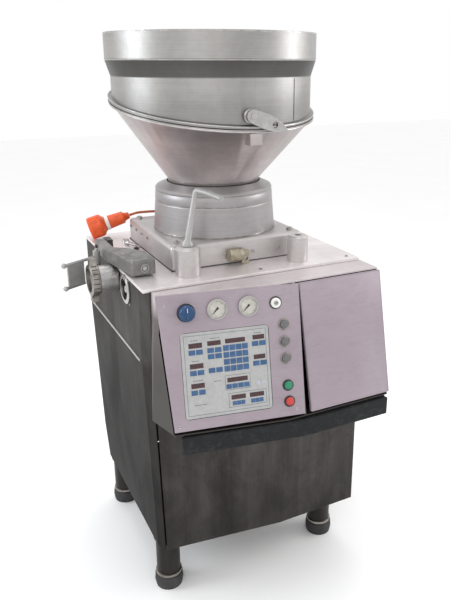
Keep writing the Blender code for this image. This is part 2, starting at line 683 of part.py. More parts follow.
def build_hopper_clamp(lower, upper):
    """Boss on the upper section, a lug on the cone, and a leaf-shaped handle that turns on the boss."""
    face = AXIS_Y - DRUM_RADIUS
    boss = rod("clamp_boss", at(CLAMP_X, face + 0.008, CLAMP_Z), at(CLAMP_X, face - 0.016, CLAMP_Z), 0.018,
               "stainless", 20)
    join(upper, boss)
    lug = block("clamp_lug", (CLAMP_X - 0.004, face - 0.012, 1.500), (CLAMP_X + 0.034, face + 0.022, 1.534),
                "stainless", at(0, 0, 0))
    join(lower, lug)
    origin = at(CLAMP_X, face - 0.0163, CLAMP_Z)
    half = 0.020
    leaf = [(half * math.cos(a), half * math.sin(a)) for a in [math.radians(90 + 20 * k) for k in range(10)]]
    leaf += [(0.050, -0.021), (0.095, -0.014), (0.118, -0.004), (0.118, 0.004), (0.095, 0.015), (0.050, 0.024)]
    handle = plate("clamp_handle", leaf, 0, 0.010, "bright", origin, turn=(math.pi / 2, math.radians(22), 0))
    hole = rod("clamp_handle_hole", (0.074, 0.002, -0.02), (0.074, 0.002, 0.03), 0.009, "grey", 16)
    hole.location = origin
    hole.rotation_euler = (math.pi / 2, math.radians(22), 0)
    cut(handle, hole)


# ---- fittings on the deck ----
def build_deck_fittings():
    floor = DECK_TOP + GAP
    turned("clamp_post", [(0, 1.206), (0.028, 1.206), (0.038, 1.197), (0.038, floor), (0, floor)], "stainless",
           at(-0.200, 0.082, 0), steps=28)
    lever_at = at(-0.200, 0.082, 1.2063)
    points = [(0, 0, 0), (0, 0, 0.010), (0.002, 0, 0.018), (0.030, 0, 0.158), (0.0345, -0.006, 0.166),
              (0.046, -0.050, 0.164), (0.063, -0.115, 0.158)]
    wire("clamp_lever", points, 0.0098, "bright", lever_at, 3, [1.9, 1.7, 1.05, 0.86, 0.9, 0.9, 0.9])
    turned("guide_post", [(0, 1.178), (0.012, 1.178), (0.012, 1.200), (0.027, 1.200), (0.033, 1.194),
                          (0.033, floor), (0, floor)], "stainless", at(0.174, 0.068, 0), steps=28)

    face = BLOCK_LOW[1]
    rod("latch_barrel", at(-0.054, face - 0.0213, 1.150), at(-0.010, face - 0.0213, 1.150), 0.021, "brass", 20)
    tab_at = at(-0.0095, face - 0.0213, 1.150)
    tab = plate("latch_tab", rounded((0, -0.0325), (0.026, 0.012), 0.005, 2), -0.004, 0.004, "brass", tab_at,
                turn=(math.pi / 2, 0, 0))
    tab_hole = rod("latch_tab_hole", (0.015, 0.02, -0.016), (0.015, -0.02, -0.016), 0.0055, "grey", 14, tab_at)
    cut(tab, tab_hole)

    hook_at = at(-0.272, 0.500, floor)
    hook = turned("hook_lever", [(0, 0.020), (0.009, 0.020), (0.011, 0.018), (0.011, 0), (0, 0)], "bright",
                  hook_at, steps=20)
    arm = [(0, 0, 0.011), (0.004, -0.030, 0.011), (0.018, -0.060, 0.011), (0.020, -0.088, 0.011),
           (0.008, -0.100, 0.011)]
    join(hook, as_mesh(wire("hook_arm", arm, 0.0055, "bright", hook_at, 2)))


def build_linking_gear():
    """Housing of the portioning drive: it lies on the deck's left edge and tips up about its rear pin."""
    pin_at = at(-0.372, 0.420, 1.143)
    offset = Vector((CENTRE_X, FRONT_Y, 0)) - pin_at
    plan = [(-0.364, 0.114), (-0.291, 0.114), (-0.293, 0.215), (-0.330, 0.275), (-0.3665, 0.300),
            (-0.3665, 0.400), (-0.3935, 0.400), (-0.3935, 0.300)]
    outline = [(x + offset.x, y + offset.y) for x, y in plan]
    gear = plate("linking_gear_housing", outline, 1.1222 - pin_at.z, 1.169 - pin_at.z, "dark_casting", pin_at)
    bevel(gear, 0.004, 2)
    boss = rod("linking_gear_boss", (-0.0215, 0, 0), (0.0055, 0, 0), 0.0245, "dark_casting", 24, pin_at)
    bore = rod("linking_gear_bore", (-0.05, 0, 0), (0.05, 0, 0), 0.0084, "grey", 16, pin_at)
    join(gear, boss)
    cut(gear, bore)

    pivot = block("linking_gear_pivot", (0.0075, -0.024, DECK_TOP + GAP - pin_at.z), (0.028, 0.024, 0.024),
                  "dark_casting", pin_at)
    pin = rod("linking_gear_pin", (-0.027, 0, 0), (0.015, 0, 0), 0.0080, "bright", 16, pin_at)
    join(pivot, pin)


def build_outlet():
    """Delivery pipe on the left side, its winged nut, the swing-away bracket and the drive port."""
    start = BLOCK_LOW[0] - GAP
    length = start - OUTLET_END
    step = -0.3735 - OUTLET_END
    origin = at(OUTLET_END, OUTLET_Y, OUTLET_Z)
    pipe = [(0.0300, length), (0.0300, step), (OUTLET_RADIUS, step), (OUTLET_RADIUS, 0.003), (0.041, 0),
            (0.036, 0), (OUTLET_BORE, 0.020), (OUTLET_BORE, length)]
    outlet = turned("outlet_pipe", pipe, "stainless", origin, turn=(0, math.pi / 2, 0), steps=32, closed=True)

    nut_at = at(-0.458, OUTLET_Y, OUTLET_Z)
    section = [(0.0485, 0.028), (0.0500, 0.026), (0.0500, 0.003), (0.0475, 0), (0.038, 0), (0.038, 0.0127),
               (0.0446, 0.0127), (0.0446, 0.028)]
    nut = turned("union_nut", section, "dark_casting", nut_at, turn=(0, math.pi / 2, 0), steps=32, closed=True)
    for name, sign in (("upper", 1), ("lower", -1)):
        low, high = sorted((sign * 0.046, sign * 0.070))
        join(nut, block(f"nut_wing_{name}", (0.003, -0.012, low), (0.025, 0.012, high), "dark_casting", nut_at))

    pin_at = at(-0.4120, 0.350, 0)
    bracket_turn = math.radians(28)
    along = Vector((-math.cos(bracket_turn), -math.sin(bracket_turn), 0))
    across = Vector((-along.y, along.x, 0))
    top, bottom = 1.1310, 1.0565

    def on_bracket(distance, z, off=0.0):
        return along * distance + across * off + Vector((0, 0, z))

    sheet = plate("swing_bracket", [(0.056, bottom), (0.120, bottom), (0.120, top), (0.056, top)], -0.003, 0.003,
                  "dark_casting", pin_at, turn=(math.pi / 2, 0, math.pi + bracket_turn))
    pieces = [
        rod("bracket_top_rod", on_bracket(0.004, top), on_bracket(0.130, top), 0.0050, "bright", 14, pin_at),
        rod("bracket_low_rod", on_bracket(0.056, bottom), on_bracket(0.130, bottom), 0.0050, "bright", 14, pin_at),
        rod("bracket_boss", (0, 0, 1.1083), (0, 0, 1.150), 0.0115, "bright", 18, pin_at),
    ]
    for name, z in (("top", top), ("low", bottom)):
        pieces.append(turned_ball(f"bracket_{name}_ball", on_bracket(0.132, z), 0.0085, pin_at))
    join(sheet, *pieces)
    cut(sheet, rod("bracket_pin_hole", (0, 0, 1.10), (0, 0, 1.20), 0.0064, "grey", 14, pin_at))
    stub = rod("bracket_pin", (0, 0, 1.0950), (0, 0, 1.1560), 0.0060, "bright", 14, pin_at)
    lug = block("bracket_lug", (-0.012, -0.045, 1.0900), (0.012, 0.012, 1.1080), "stainless", pin_at)
    join(outlet, lug, stub)

    ring = [(0.041, 0.0060), (0.046, 0.0035), (0.046, 0), (0.0335, 0), (0.0335, 0.0060)]
    turned("port_ring", ring, "bright", at(-HALF_WIDTH - GAP, PORT_Y, PORT_Z), turn=(0, -math.pi / 2, 0),
           steps=36, closed=True)
    shaft = [(0, 0.036), (0.010, 0.036), (0.012, 0.034), (0.012, 0), (0.022, 0), (0.022, -0.020), (0, -0.020)]
    turned("drive_spindle", shaft, "bright", at(-HALF_WIDTH + 0.034, PORT_Y, PORT_Z), turn=(0, -math.pi / 2, 0),
           steps=20)


def turned_ball(name, centre, radius, origin):
    bm = bmesh.new()
    bmesh.ops.create_uvsphere(bm, u_segments=14, v_segments=8, radius=radius, matrix=Matrix.Translation(centre))
    return place(name, bm, "bright", origin)


# ---- mains cord ----
GLAND = (0.24, 0.52)
PLUG_AT = (-0.345, 0.622, 1.161)  # middle of the plug's wide ring
PLUG_TURN = math.radians(-12)
PLUG_LIFT = math.radians(17)  # the cord holds the tail up


def smooth(route, spacing):
    """Points about `spacing` apart on a Catmull-Rom curve through the route's own points."""
    ends = [route[0] * 2 - route[1]] + route + [route[-1] * 2 - route[-2]]
    points = []
    for a, b, c, d in zip(ends, ends[1:], ends[2:], ends[3:]):
        steps = max(1, round((c - b).length / spacing))
        for k in range(steps):
            t = k / steps
            points.append(0.5 * ((2 * b) + (c - a) * t + (2 * a - 5 * b + 4 * c - d) * t**2
                                 + (3 * b - a - 3 * c + d) * t**3))
    return points + [route[-1]]


def build_cord():
    """From a gland under the base to a coil on the floor, up the back and over the pump block to the plug."""
    bore = CORD_RADIUS + GAP
    sleeve = [(bore, 0.2040), (0.0120, 0.2040), (0.0120, 0.1957), (0.0180, 0.1955), (0.0180, 0.1850),
              (0.0080, 0.1600), (bore, 0.1600)]
    turned("cord_gland", sleeve, "rubber", at(*GLAND, 0), steps=20, closed=True)

    floor = CORD_RADIUS
    coil_top = 2 * CORD_RADIUS * (COIL_TURNS + 1)
    inner, outer = COIL_RADIUS - CORD_RADIUS, COIL_RADIUS + CORD_RADIUS
    beside = outer + CORD_RADIUS + GAP
    turned("cord_coil", [(inner, coil_top), (outer, coil_top), (outer, 0), (inner, 0)], "orange",
           at(*COIL_AT, 0), steps=32, closed=True)

    x, y = COIL_AT
    start = [(*GLAND, 0.1595), (0.240, 0.520, 0.110), (0.237, 0.508, 0.060), (0.226, 0.482, 0.020),
             (0.208, 0.455, floor), (0.188, 0.432, floor), (0.170, 0.417, floor), (x + beside, y, floor)]
    wire("cord_gland_run", smooth([at(*p) for p in start], 0.016), CORD_RADIUS, "orange")

    back = DECK_DEPTH + 0.048
    top = BLOCK_HIGH[2] + CORD_RADIUS + GAP
    run = [(x, y + beside, coil_top - CORD_RADIUS), (x + 0.026, y + 0.067, 0.033), (x + 0.044, y + 0.086, 0.021),
           (x + 0.052, y + 0.115, 0.009), (x + 0.048, y + 0.155, floor), (x + 0.027, y + 0.210, floor),
           (x + 0.006, y + 0.264, 0.010), (x, y + 0.300, 0.034), (x, back - 0.008, 0.080), (x, back, 0.140),
           (x, back, 0.300), (x - 0.004, back, 0.500), (x - 0.004, back, 0.750), (x, back, 0.920),
           (x, back, 1.010), (x - 0.002, back - 0.008, 1.062), (x - 0.005, back - 0.032, 1.122),
           (x - 0.014, back - 0.075, 1.167), (x - 0.036, back - 0.122, 1.194), (x - 0.074, back - 0.150, top + 0.003),
           (x - 0.125, back - 0.162, top), (x - 0.180, back - 0.162, top + 0.002), (x - 0.235, back - 0.155, top + 0.008)]
    along = Vector((math.cos(PLUG_LIFT) * math.cos(PLUG_TURN), math.cos(PLUG_LIFT) * math.sin(PLUG_TURN),
                    math.sin(PLUG_LIFT)))
    plug_at = at(*PLUG_AT)
    tail = plug_at + along * 0.1265
    points = [at(*p) for p in run] + [tail + along * 0.028 - Vector((0, 0, 0.001)), tail]
    wire("cord_plug_run", smooth(points, 0.028), CORD_RADIUS, "orange")

    body = [(bore, 0.126), (0.010, 0.126), (0.014, 0.109), (0.022, 0.104), (0.0245, 0.051), (0.0245, 0.037),
            (0.032, 0.029), (0.037, 0.026), (0.040, 0.020), (0.040, -0.020), (0.037, -0.023), (0.034, -0.023),
            (0.034, 0.009), (0, 0.009), (0, 0.1195), (bore, 0.1195)]
    turned("mains_plug", body, "orange", plug_at, turn=(0, math.pi / 2 - PLUG_LIFT, PLUG_TURN), steps=20,
           closed=True)


build_cabinet()
build_rear_panel()
build_legs()
build_console()
build_knee_bar()
build_pump()
build_auger()
build_drive()
build_hopper()
build_deck_fittings()
build_linking_gear()
build_outlet()
build_cord()
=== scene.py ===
import json
import math

import bmesh
import bpy
from mathutils import Matrix, Vector
from mathutils.bvhtree import BVHTree


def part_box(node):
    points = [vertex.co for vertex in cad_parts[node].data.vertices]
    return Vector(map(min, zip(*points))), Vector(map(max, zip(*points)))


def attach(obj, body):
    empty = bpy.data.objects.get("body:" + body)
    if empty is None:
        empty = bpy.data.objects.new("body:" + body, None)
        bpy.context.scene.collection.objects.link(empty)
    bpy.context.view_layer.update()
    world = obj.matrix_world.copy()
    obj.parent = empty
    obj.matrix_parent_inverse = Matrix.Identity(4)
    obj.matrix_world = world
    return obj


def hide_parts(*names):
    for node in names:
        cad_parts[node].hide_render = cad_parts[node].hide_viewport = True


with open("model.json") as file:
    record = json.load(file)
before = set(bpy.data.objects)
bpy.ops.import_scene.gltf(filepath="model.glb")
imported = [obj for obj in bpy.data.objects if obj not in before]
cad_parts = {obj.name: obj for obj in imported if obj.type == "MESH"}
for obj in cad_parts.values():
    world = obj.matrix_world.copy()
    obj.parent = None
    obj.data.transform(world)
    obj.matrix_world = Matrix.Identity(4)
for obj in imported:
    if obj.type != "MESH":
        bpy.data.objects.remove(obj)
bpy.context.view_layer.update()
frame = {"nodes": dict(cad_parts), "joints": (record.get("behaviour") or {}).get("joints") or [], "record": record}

JOINTS = {joint["name"]: joint for joint in frame["joints"]}
SCENE = bpy.context.scene
RIGHT, LEFT = Vector((1, 0, 0)), Vector((-1, 0, 0))
FRONT, BACK = Vector((0, -1, 0)), Vector((0, 1, 0))
UP = Vector((0, 0, 1))


# ---- places, all read from the frame ----
def middle(node):
    low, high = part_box(node)
    return (low + high) / 2


def joint_at(name):
    return Vector(JOINTS[name]["pos_m"])


def joint_axis(name):
    return Vector(JOINTS[name]["axis"]).normalized()


def basis(origin, right, up, out):
    """World matrix whose X, Y and Z are right, up and out, at origin."""
    return Matrix.Translation(origin) @ Matrix((right, up, out)).transposed().to_4x4()


def spun(angle):
    return Matrix.Rotation(angle, 4, "Z")


def facing(origin, out):
    """A matrix with Z along out, and Y as near upright as it can be."""
    out = out.normalized()
    up = UP if abs(out.z) < 0.9 else BACK
    right = up.cross(out).normalized()
    return basis(origin, right, out.cross(right), out)


def panel_plane():
    """The sloping control panel: its axes, with the keypad's top left corner as the origin."""
    out = joint_axis("knob_turn")
    right = UP.cross(out).normalized()
    up = out.cross(right)
    points = [v.co for v in frame["nodes"]["keypad"].data.vertices]
    face = max(p.dot(out) for p in points)
    left, top = min(p.dot(right) for p in points), max(p.dot(up) for p in points)
    return basis(right * left + up * top + out * face, right, up, out)


PANEL = panel_plane()
PANEL_AXES = [Vector(PANEL.col[k][:3]) for k in range(3)]  # right, up and out
AXIS = joint_at("rotor_spin")  # the hopper, neck and pump share this upright axis
DECK_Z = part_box("deck_plate")[1].z
CENTRE = middle("deck_plate")
CREASE_Z = 0.87  # height of the bead folded into the left side


# ---- camera ----
def build_camera():
    data = bpy.data.cameras.new("camera")
    data.sensor_fit = "VERTICAL"
    data.sensor_height, data.lens = 36.0, 39.636
    data.shift_x, data.shift_y = -0.0575, -0.0365
    camera = bpy.data.objects.new("camera", data)
    camera.location = (-0.7946, -1.9690, 1.736)
    camera.rotation_euler = (math.radians(90 - 18.31), math.radians(-0.09), math.radians(-27.07))
    SCENE.collection.objects.link(camera)
    SCENE.camera = camera


# ---- meshes ----
def add_piece(name, bm, material, body="machine", matrix=None, smooth=35):
    """Turns a bmesh, measured from matrix, into a piece that rides on a body; smooth is in degrees."""
    mesh = bpy.data.meshes.new(name)
    bm.normal_update()
    bm.to_mesh(mesh)
    bm.free()
    mesh.shade_smooth()
    mesh.set_sharp_from_angle(angle=math.radians(smooth))
    for entry in material if isinstance(material, (list, tuple)) else [material]:
        mesh.materials.append(entry)
    piece = bpy.data.objects.new(name, mesh)
    SCENE.collection.objects.link(piece)
    if matrix is not None:
        piece.matrix_world = matrix
    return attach(piece, body)


def lathe(bm, profile, matrix=None, steps=40, material=0):
    """A closed profile of (radius, height) turned about Z; a radius of 0 closes it on the axis."""
    matrix = matrix or Matrix.Identity(4)
    rings = []
    for radius, height in profile:
        count = 1 if radius == 0 else steps
        angles = [2 * math.pi * k / count for k in range(count)]
        rings.append([bm.verts.new(matrix @ Vector((radius * math.cos(a), radius * math.sin(a), height)))
                      for a in angles])
    for first, second in zip(rings, rings[1:]):
        for k in range(max(len(first), len(second))):
            loop = [first[k % len(first)], first[(k + 1) % len(first)], second[(k + 1) % len(second)],
                    second[k % len(second)]]
            face = bm.faces.new(list(dict.fromkeys(loop)))
            face.material_index = material
    return bm


def add_turned(name, profile, material, matrix, body="machine", steps=40):
    """A piece that is one turned profile."""
    return add_piece(name, lathe(bmesh.new(), profile, steps=steps), material, body, matrix)


def slab(bm, low, high, matrix=None, material=0, bevel=0.0):
    """A box between two corners, with its edges rounded by a small bevel."""
    matrix = matrix or Matrix.Identity(4)
    low, high = Vector(low), Vector(high)
    made = bmesh.ops.create_cube(bm, size=1)["verts"]
    bmesh.ops.scale(bm, vec=high - low, verts=made)
    bmesh.ops.translate(bm, vec=(low + high) / 2, verts=made)
    edges = list({edge for vert in made for edge in vert.link_edges})
    if bevel:
        result = bmesh.ops.bevel(bm, geom=edges, offset=bevel, segments=2, affect="EDGES", profile=0.6)
        made = list({v for face in result["faces"] for v in face.verts} | {v for v in made if v.is_valid})
    faces = {face for vert in made for face in vert.link_faces}
    for face in faces:
        face.material_index = material
    bmesh.ops.transform(bm, matrix=matrix, verts=made)
    return bm


def tube(bm, points, radius, sides=10, closed=False):
    """A round bar along points, ring by ring, without twist."""
    points = [Vector(p) for p in points]
    count = len(points)
    rings, side = [], None
    for k, point in enumerate(points):
        before = points[k - 1] if k or closed else points[0]
        after = points[(k + 1) % count] if k + 1 < count or closed else points[-1]
        along = (after - before).normalized()
        if side is None:
            side = along.orthogonal()
        side = (side - along * side.dot(along)).normalized()
        across = along.cross(side)
        rings.append([bm.verts.new(point + radius * (side * math.cos(a) + across * math.sin(a)))
                      for a in [2 * math.pi * j / sides for j in range(sides)]])
    pairs = list(zip(rings, rings[1:])) + ([(rings[-1], rings[0])] if closed else [])
    for first, second in pairs:
        for j in range(sides):
            bm.faces.new((first[j], first[(j + 1) % sides], second[(j + 1) % sides], second[j]))
    if not closed:
        bm.faces.new(list(reversed(rings[0])))
        bm.faces.new(rings[-1])
    return bm


def add_beads(name, loops, material, body="machine", matrix=None):
    """Round beads along closed loops, each given as (points, radius)."""
    bm = bmesh.new()
    for points, radius in loops:
        tube(bm, points, radius, 8, closed=True)
    return add_piece(name, bm, material, body, matrix)


def circle(radius, height, count=72):
    """Points of a level circle round the hopper's axis."""
    angles = [math.radians(360 * k / count) for k in range(count)]
    return [Vector((AXIS.x + radius * math.cos(a), AXIS.y + radius * math.sin(a), height)) for a in angles]


# ---- material nodes ----
AROUND_GRAIN, UP_GRAIN, SIDE_GRAIN = (4.0, 4.0, 520.0), (480.0, 480.0, 3.0), (3.0, 480.0, 480.0)
EVEN_GRAIN = (150.0, 150.0, 150.0)
SHEET_HEIGHT = 1.2  # metres; the cabinet's shades are placed as shares of it


class Look:
    """A Principled material whose nodes are added by short calls."""

    def __init__(self, name, roughness=0.5, metallic=0.0, **sockets):
        self.material = bpy.data.materials.new(name)
        self.material.use_nodes = True
        self.tree = self.material.node_tree
        self.shader = self.tree.nodes["Principled BSDF"]
        self.shader.inputs["Roughness"].default_value = roughness
        self.shader.inputs["Metallic"].default_value = metallic
        for socket, value in sockets.items():
            self.shader.inputs[socket.replace("_", " ")].default_value = value
        self.place = self.node("ShaderNodeTexCoord").outputs["Object"]
        self.height = None

    def node(self, kind, **settings):
        made = self.tree.nodes.new(kind)
        for key, value in settings.items():
            setattr(made, key, value)
        return made

    def feed(self, value, target):
        """Links a socket to the target, or sets it to a plain number or colour."""
        if isinstance(value, bpy.types.NodeSocket):
            self.tree.links.new(value, target)
        else:
            target.default_value = (*value, 1) if isinstance(value, tuple) else value

    def mapped(self, scale, offset=(0, 0, 0)):
        made = self.node("ShaderNodeMapping")
        made.inputs["Scale"].default_value = scale
        made.inputs["Location"].default_value = offset
        self.feed(self.place, made.inputs["Vector"])
        return made.outputs["Vector"]

    def noise(self, scale, stretch=(1, 1, 1), detail=4.0, rough=0.55, warp=0.0, offset=(0, 0, 0)):
        """Noise from 0 to 1 with `scale` features per metre; stretch changes that along each axis."""
        made = self.node("ShaderNodeTexNoise")
        made.inputs["Scale"].default_value = scale
        made.inputs["Detail"].default_value = detail
        made.inputs["Roughness"].default_value = rough
        made.inputs["Distortion"].default_value = warp
        self.feed(self.mapped(stretch, offset), made.inputs["Vector"])
        return made.outputs["Fac"]

    def ramp(self, value, *stops):
        """Colour ramp; each stop is (position, grey or colour)."""
        made = self.node("ShaderNodeValToRGB")
        band = made.color_ramp
        while len(band.elements) < len(stops):
            band.elements.new(0.5)
        for element, (position, colour) in zip(band.elements, stops):
            element.position = position
            element.color = (*((colour,) * 3 if isinstance(colour, (int, float)) else colour), 1)
        self.feed(value, made.inputs["Fac"])
        return made.outputs["Color"]

    def mix(self, share, first, second, mode="MIX"):
        """Mix of two colours, which are sockets or plain colours."""
        made = self.node("ShaderNodeMix", data_type="RGBA", blend_type=mode)
        for value, name in ((share, "Factor"), (first, "A"), (second, "B")):
            self.feed(value, made.inputs[name])
        return made.outputs["Result"]

    def between(self, value, low, high, first, second):
        """Goes from the first colour to the second as value goes from low to high."""
        return self.mix(self.ramp(value, (low, 0.0), (high, 1.0)), first, second)

    def darkened(self, share, colour, value, *stops):
        """The colour, multiplied by a ramp of value to the extent that share says."""
        return self.mix(share, colour, self.ramp(value, *stops), "MULTIPLY")

    def maths(self, operation, *values):
        made = self.node("ShaderNodeMath", operation=operation)
        for value, target in zip(values, made.inputs):
            self.feed(value, target)
        return made.outputs["Value"]

    def upright(self):
        """Height above the floor, in metres."""
        made = self.node("ShaderNodeSeparateXYZ")
        self.feed(self.place, made.inputs["Vector"])
        return made.outputs["Z"]

    def colour(self, socket):
        self.feed(socket, self.shader.inputs["Base Color"])

    def gloss(self, socket):
        self.feed(socket, self.shader.inputs["Roughness"])

    def bump(self, height, strength=0.3, distance=0.001):
        made = self.node("ShaderNodeBump")
        made.inputs["Strength"].default_value = strength
        made.inputs["Distance"].default_value = distance
        self.feed(height, made.inputs["Height"])
        if self.height is not None:
            self.feed(self.height, made.inputs["Normal"])
        self.height = made.outputs["Normal"]
        self.feed(self.height, self.shader.inputs["Normal"])


def brushed(name, light, dark, grain, roughness, stain=0.35, bump=0.12, stain_scale=3.0, metallic=1.0):
    """Stainless sheet: fine grain along one direction, soft cloudy stains and small scuffs."""
    look = Look(name, metallic=metallic)
    lines = look.noise(1.0, grain, detail=3.0, rough=0.6)
    clouds = look.noise(stain_scale, detail=5.0, rough=0.6, warp=0.4)
    spots = look.noise(45.0, detail=3.0)
    base = look.between(clouds, 0.36, 0.66, dark, light)
    grained = look.darkened(0.30, base, lines, (0.3, 0.55), (0.7, 1.0))
    look.colour(look.darkened(stain, grained, spots, (0.35, 0.8), (0.6, 1.0)))
    span = look.ramp(lines, (0.25, roughness - 0.07), (0.75, roughness + 0.09))
    look.gloss(look.mix(0.5, span, look.ramp(clouds, (0.3, roughness + 0.08), (0.7, roughness - 0.05))))
    look.bump(lines, bump, 0.0006)
    look.bump(look.noise(4.0, detail=2.0), 0.06, 0.01)
    return look


def shaded_by_height(look, bottom, span, *stops):
    """Multiplies the colour by a band pattern over a height range, as the photo's light and shade lie."""
    share = look.maths("DIVIDE", look.maths("SUBTRACT", look.upright(), bottom), span)
    source = look.shader.inputs["Base Color"].links[0].from_socket
    look.colour(look.darkened(1.0, source, share, *stops))
    return look.material


def make_hopper_steel():
    """Drum steel, with painted shade in a dark band under the rim's step, and a little darker towards its foot."""
    look = brushed("hopper_steel", (0.42, 0.41, 0.40), (0.33, 0.32, 0.31), AROUND_GRAIN, 0.40, stain=0.25)
    return shaded_by_height(look, 1.60, 0.22, (0.0, 0.80), (0.25, 0.98), (0.385, 0.98), (0.405, 0.30),
                            (0.61, 0.24), (0.635, 1.0))


def make_console_steel():
    """Housing of the controls: pale at its top edge as painted light, with painted shade darkening it down the
    cheeks.
    """
    look = brushed("console_steel", (0.66, 0.60, 0.61), (0.52, 0.465, 0.475), SIDE_GRAIN, 0.40, stain=0.25,
                   metallic=0.4)
    return shaded_by_height(look, 0.60, 0.52, (0.0, (0.050, 0.043, 0.040)), (0.55, (0.070, 0.060, 0.057)),
                            (0.84, (0.200, 0.180, 0.175)), (0.96, 1.0))


def make_cabinet_steel(name, metallic, roughness, *shades):
    """Dull dark sheet: vertical grain, run-down marks, and the photo's shade by height."""
    look = Look(name, metallic=metallic, Specular_IOR_Level=0.2)
    lines = look.noise(1.0, UP_GRAIN, detail=3.0, rough=0.6)
    clouds = look.noise(3.2, (1, 1, 0.45), detail=6.0, rough=0.62, warp=0.6)
    runs = look.noise(1.0, (34.0, 34.0, 1.6), detail=4.0, rough=0.6, warp=0.3)
    patches = look.noise(9.0, (1, 1, 0.7), detail=6.0, rough=0.7, warp=1.2, offset=(3.1, 1.7, 0.4))
    base = look.between(clouds, 0.32, 0.68, (0.038, 0.034, 0.032), (0.098, 0.091, 0.086))
    streaked = look.darkened(0.55, base, runs, (0.30, 0.62), (0.62, 1.0))
    marked = look.darkened(0.45, streaked, patches, (0.40, 0.55), (0.56, 1.0))
    height = look.maths("MULTIPLY", look.upright(), 1 / SHEET_HEIGHT)
    shaded = look.darkened(1.0, marked, height, *shades)
    look.colour(look.darkened(0.35, shaded, lines, (0.3, 0.6), (0.7, 1.0)))
    look.gloss(look.ramp(clouds, (0.3, roughness + 0.14), (0.7, roughness)))
    look.bump(lines, 0.12, 0.0006)
    look.bump(look.noise(2.4, detail=2.0), 0.12, 0.02)
    return look.material


def make_lilac():
    """Powder-coated sheet with a faint texture, cloudy wear and small scratches."""
    look = Look("lilac_coat", roughness=0.42, metallic=0.25)
    clouds = look.noise(4.0, detail=5.0, rough=0.6, warp=0.5)
    scuffs = look.noise(1.0, (20.0, 20.0, 90.0), detail=5.0, rough=0.7, warp=0.8)
    base = look.between(clouds, 0.3, 0.7, (0.310, 0.256, 0.295), (0.380, 0.320, 0.362))
    look.colour(look.darkened(0.30, base, scuffs, (0.32, 0.7), (0.5, 1.0)))
    look.gloss(look.ramp(clouds, (0.3, 0.50), (0.7, 0.36)))
    look.bump(look.noise(900.0, detail=2.0), 0.10, 0.0004)
    return look.material


def make_casting(name, low, high):
    look = Look(name, metallic=0.7)
    pits = look.noise(260.0, detail=4.0, rough=0.7)
    wear = look.noise(26.0, detail=5.0, rough=0.65, warp=0.6)
    base = look.between(wear, 0.42, 0.62, low, high)
    look.colour(look.darkened(0.4, base, pits, (0.3, 0.5), (0.6, 1.0)))
    look.gloss(look.ramp(wear, (0.35, 0.55), (0.65, 0.34)))
    look.bump(pits, 0.25, 0.0006)
    return look.material


def make_rubber():
    look = Look("black_rubber", roughness=0.7)
    grain = look.noise(140.0, detail=6.0, rough=0.7)
    dust = look.noise(12.0, detail=5.0, rough=0.6, warp=0.7)
    look.colour(look.between(dust, 0.45, 0.75, (0.018, 0.018, 0.018), (0.0576, 0.0540, 0.0522)))
    look.gloss(look.ramp(dust, (0.4, 0.62), (0.7, 0.85)))
    look.bump(grain, 0.35, 0.0012)
    return look.material


def make_foam_strip():
    """Worn black strip: rough, chipped and dusty along its length."""
    look = Look("worn_strip", roughness=0.85)
    chips = look.noise(1.0, (26.0, 26.0, 70.0), detail=8.0, rough=0.75, warp=0.8)
    dust = look.noise(30.0, detail=6.0, rough=0.7, warp=0.5)
    base = look.between(dust, 0.5, 0.8, (0.004, 0.005, 0.006), (0.028, 0.029, 0.031))
    look.colour(base)
    look.bump(chips, 0.9, 0.005)
    return look.material


def make_plastic(name, colour, roughness=0.35, speck=0.12):
    look = Look(name, Coat_Weight=0.15, Coat_Roughness=0.2)
    grime = look.noise(60.0, detail=5.0, rough=0.65, warp=0.4)
    dark = tuple(c * (1 - speck * 2.5) for c in colour)
    look.colour(look.between(grime, 0.35, 0.6, dark, colour))
    look.gloss(look.ramp(grime, (0.3, roughness + 0.15), (0.7, roughness)))
    look.bump(look.noise(500.0, detail=2.0), 0.06, 0.0003)
    return look.material


def make_glass():
    look = Look("gauge_glass", roughness=0.04, Transmission_Weight=1.0, IOR=1.30, Alpha=0.18)
    look.bump(look.noise(40.0, detail=1.0), 0.02, 0.0005)
    return look.material


def make_display():
    """Dark red window of a lamp display, with faint lit segments behind it."""
    look = Look("display_window", Coat_Weight=0.3, Coat_Roughness=0.1)
    haze = look.noise(160.0, detail=3.0)
    look.colour(look.between(haze, 0.40, 0.62, (0.022, 0.008, 0.010), (0.070, 0.018, 0.022)))
    look.gloss(look.ramp(haze, (0.3, 0.16), (0.7, 0.26)))
    return look.material


STEEL_HOPPER = make_hopper_steel()
STEEL_CONE = brushed("cone_steel", (0.56, 0.515, 0.505), (0.43, 0.39, 0.385), AROUND_GRAIN, 0.40,
                     stain=0.25).material
STEEL_BLOCK = brushed("block_steel", (0.60, 0.57, 0.56), (0.47, 0.445, 0.44), SIDE_GRAIN, 0.38, stain=0.25,
                      metallic=0.6).material
STEEL_DECK = brushed("deck_steel", (0.92, 0.87, 0.87), (0.76, 0.71, 0.715), SIDE_GRAIN, 0.38, stain=0.22,
                     stain_scale=5.0, metallic=0.6).material
STEEL_NECK = brushed("neck_steel", (0.42, 0.40, 0.405), (0.33, 0.315, 0.32), AROUND_GRAIN, 0.40, stain=0.2,
                     metallic=0.75).material
STEEL_CONSOLE = make_console_steel()
# painted shade: the cabinet's sheet darkens towards the floor
STEEL_CABINET = make_cabinet_steel("cabinet_steel", 0.85, 0.36, (0.15, 0.72), (0.42, 0.95), (0.9, 1.0))
# painted shade: the left side darkens towards the floor, and much more below the crease, where the sheet leans
# inwards
STEEL_SIDE = make_cabinet_steel("side_steel", 0.30, 0.64, (0.15, 0.36), (0.60, 0.55), (0.715, 0.60),
                                (0.735, 1.0), (0.9, 1.0))
STEEL_PLATE = brushed("plate_steel", (0.42, 0.415, 0.41), (0.34, 0.335, 0.33), (80.0, 80.0, 80.0), 0.42,
                      stain=0.2, bump=0.02, metallic=0.4).material
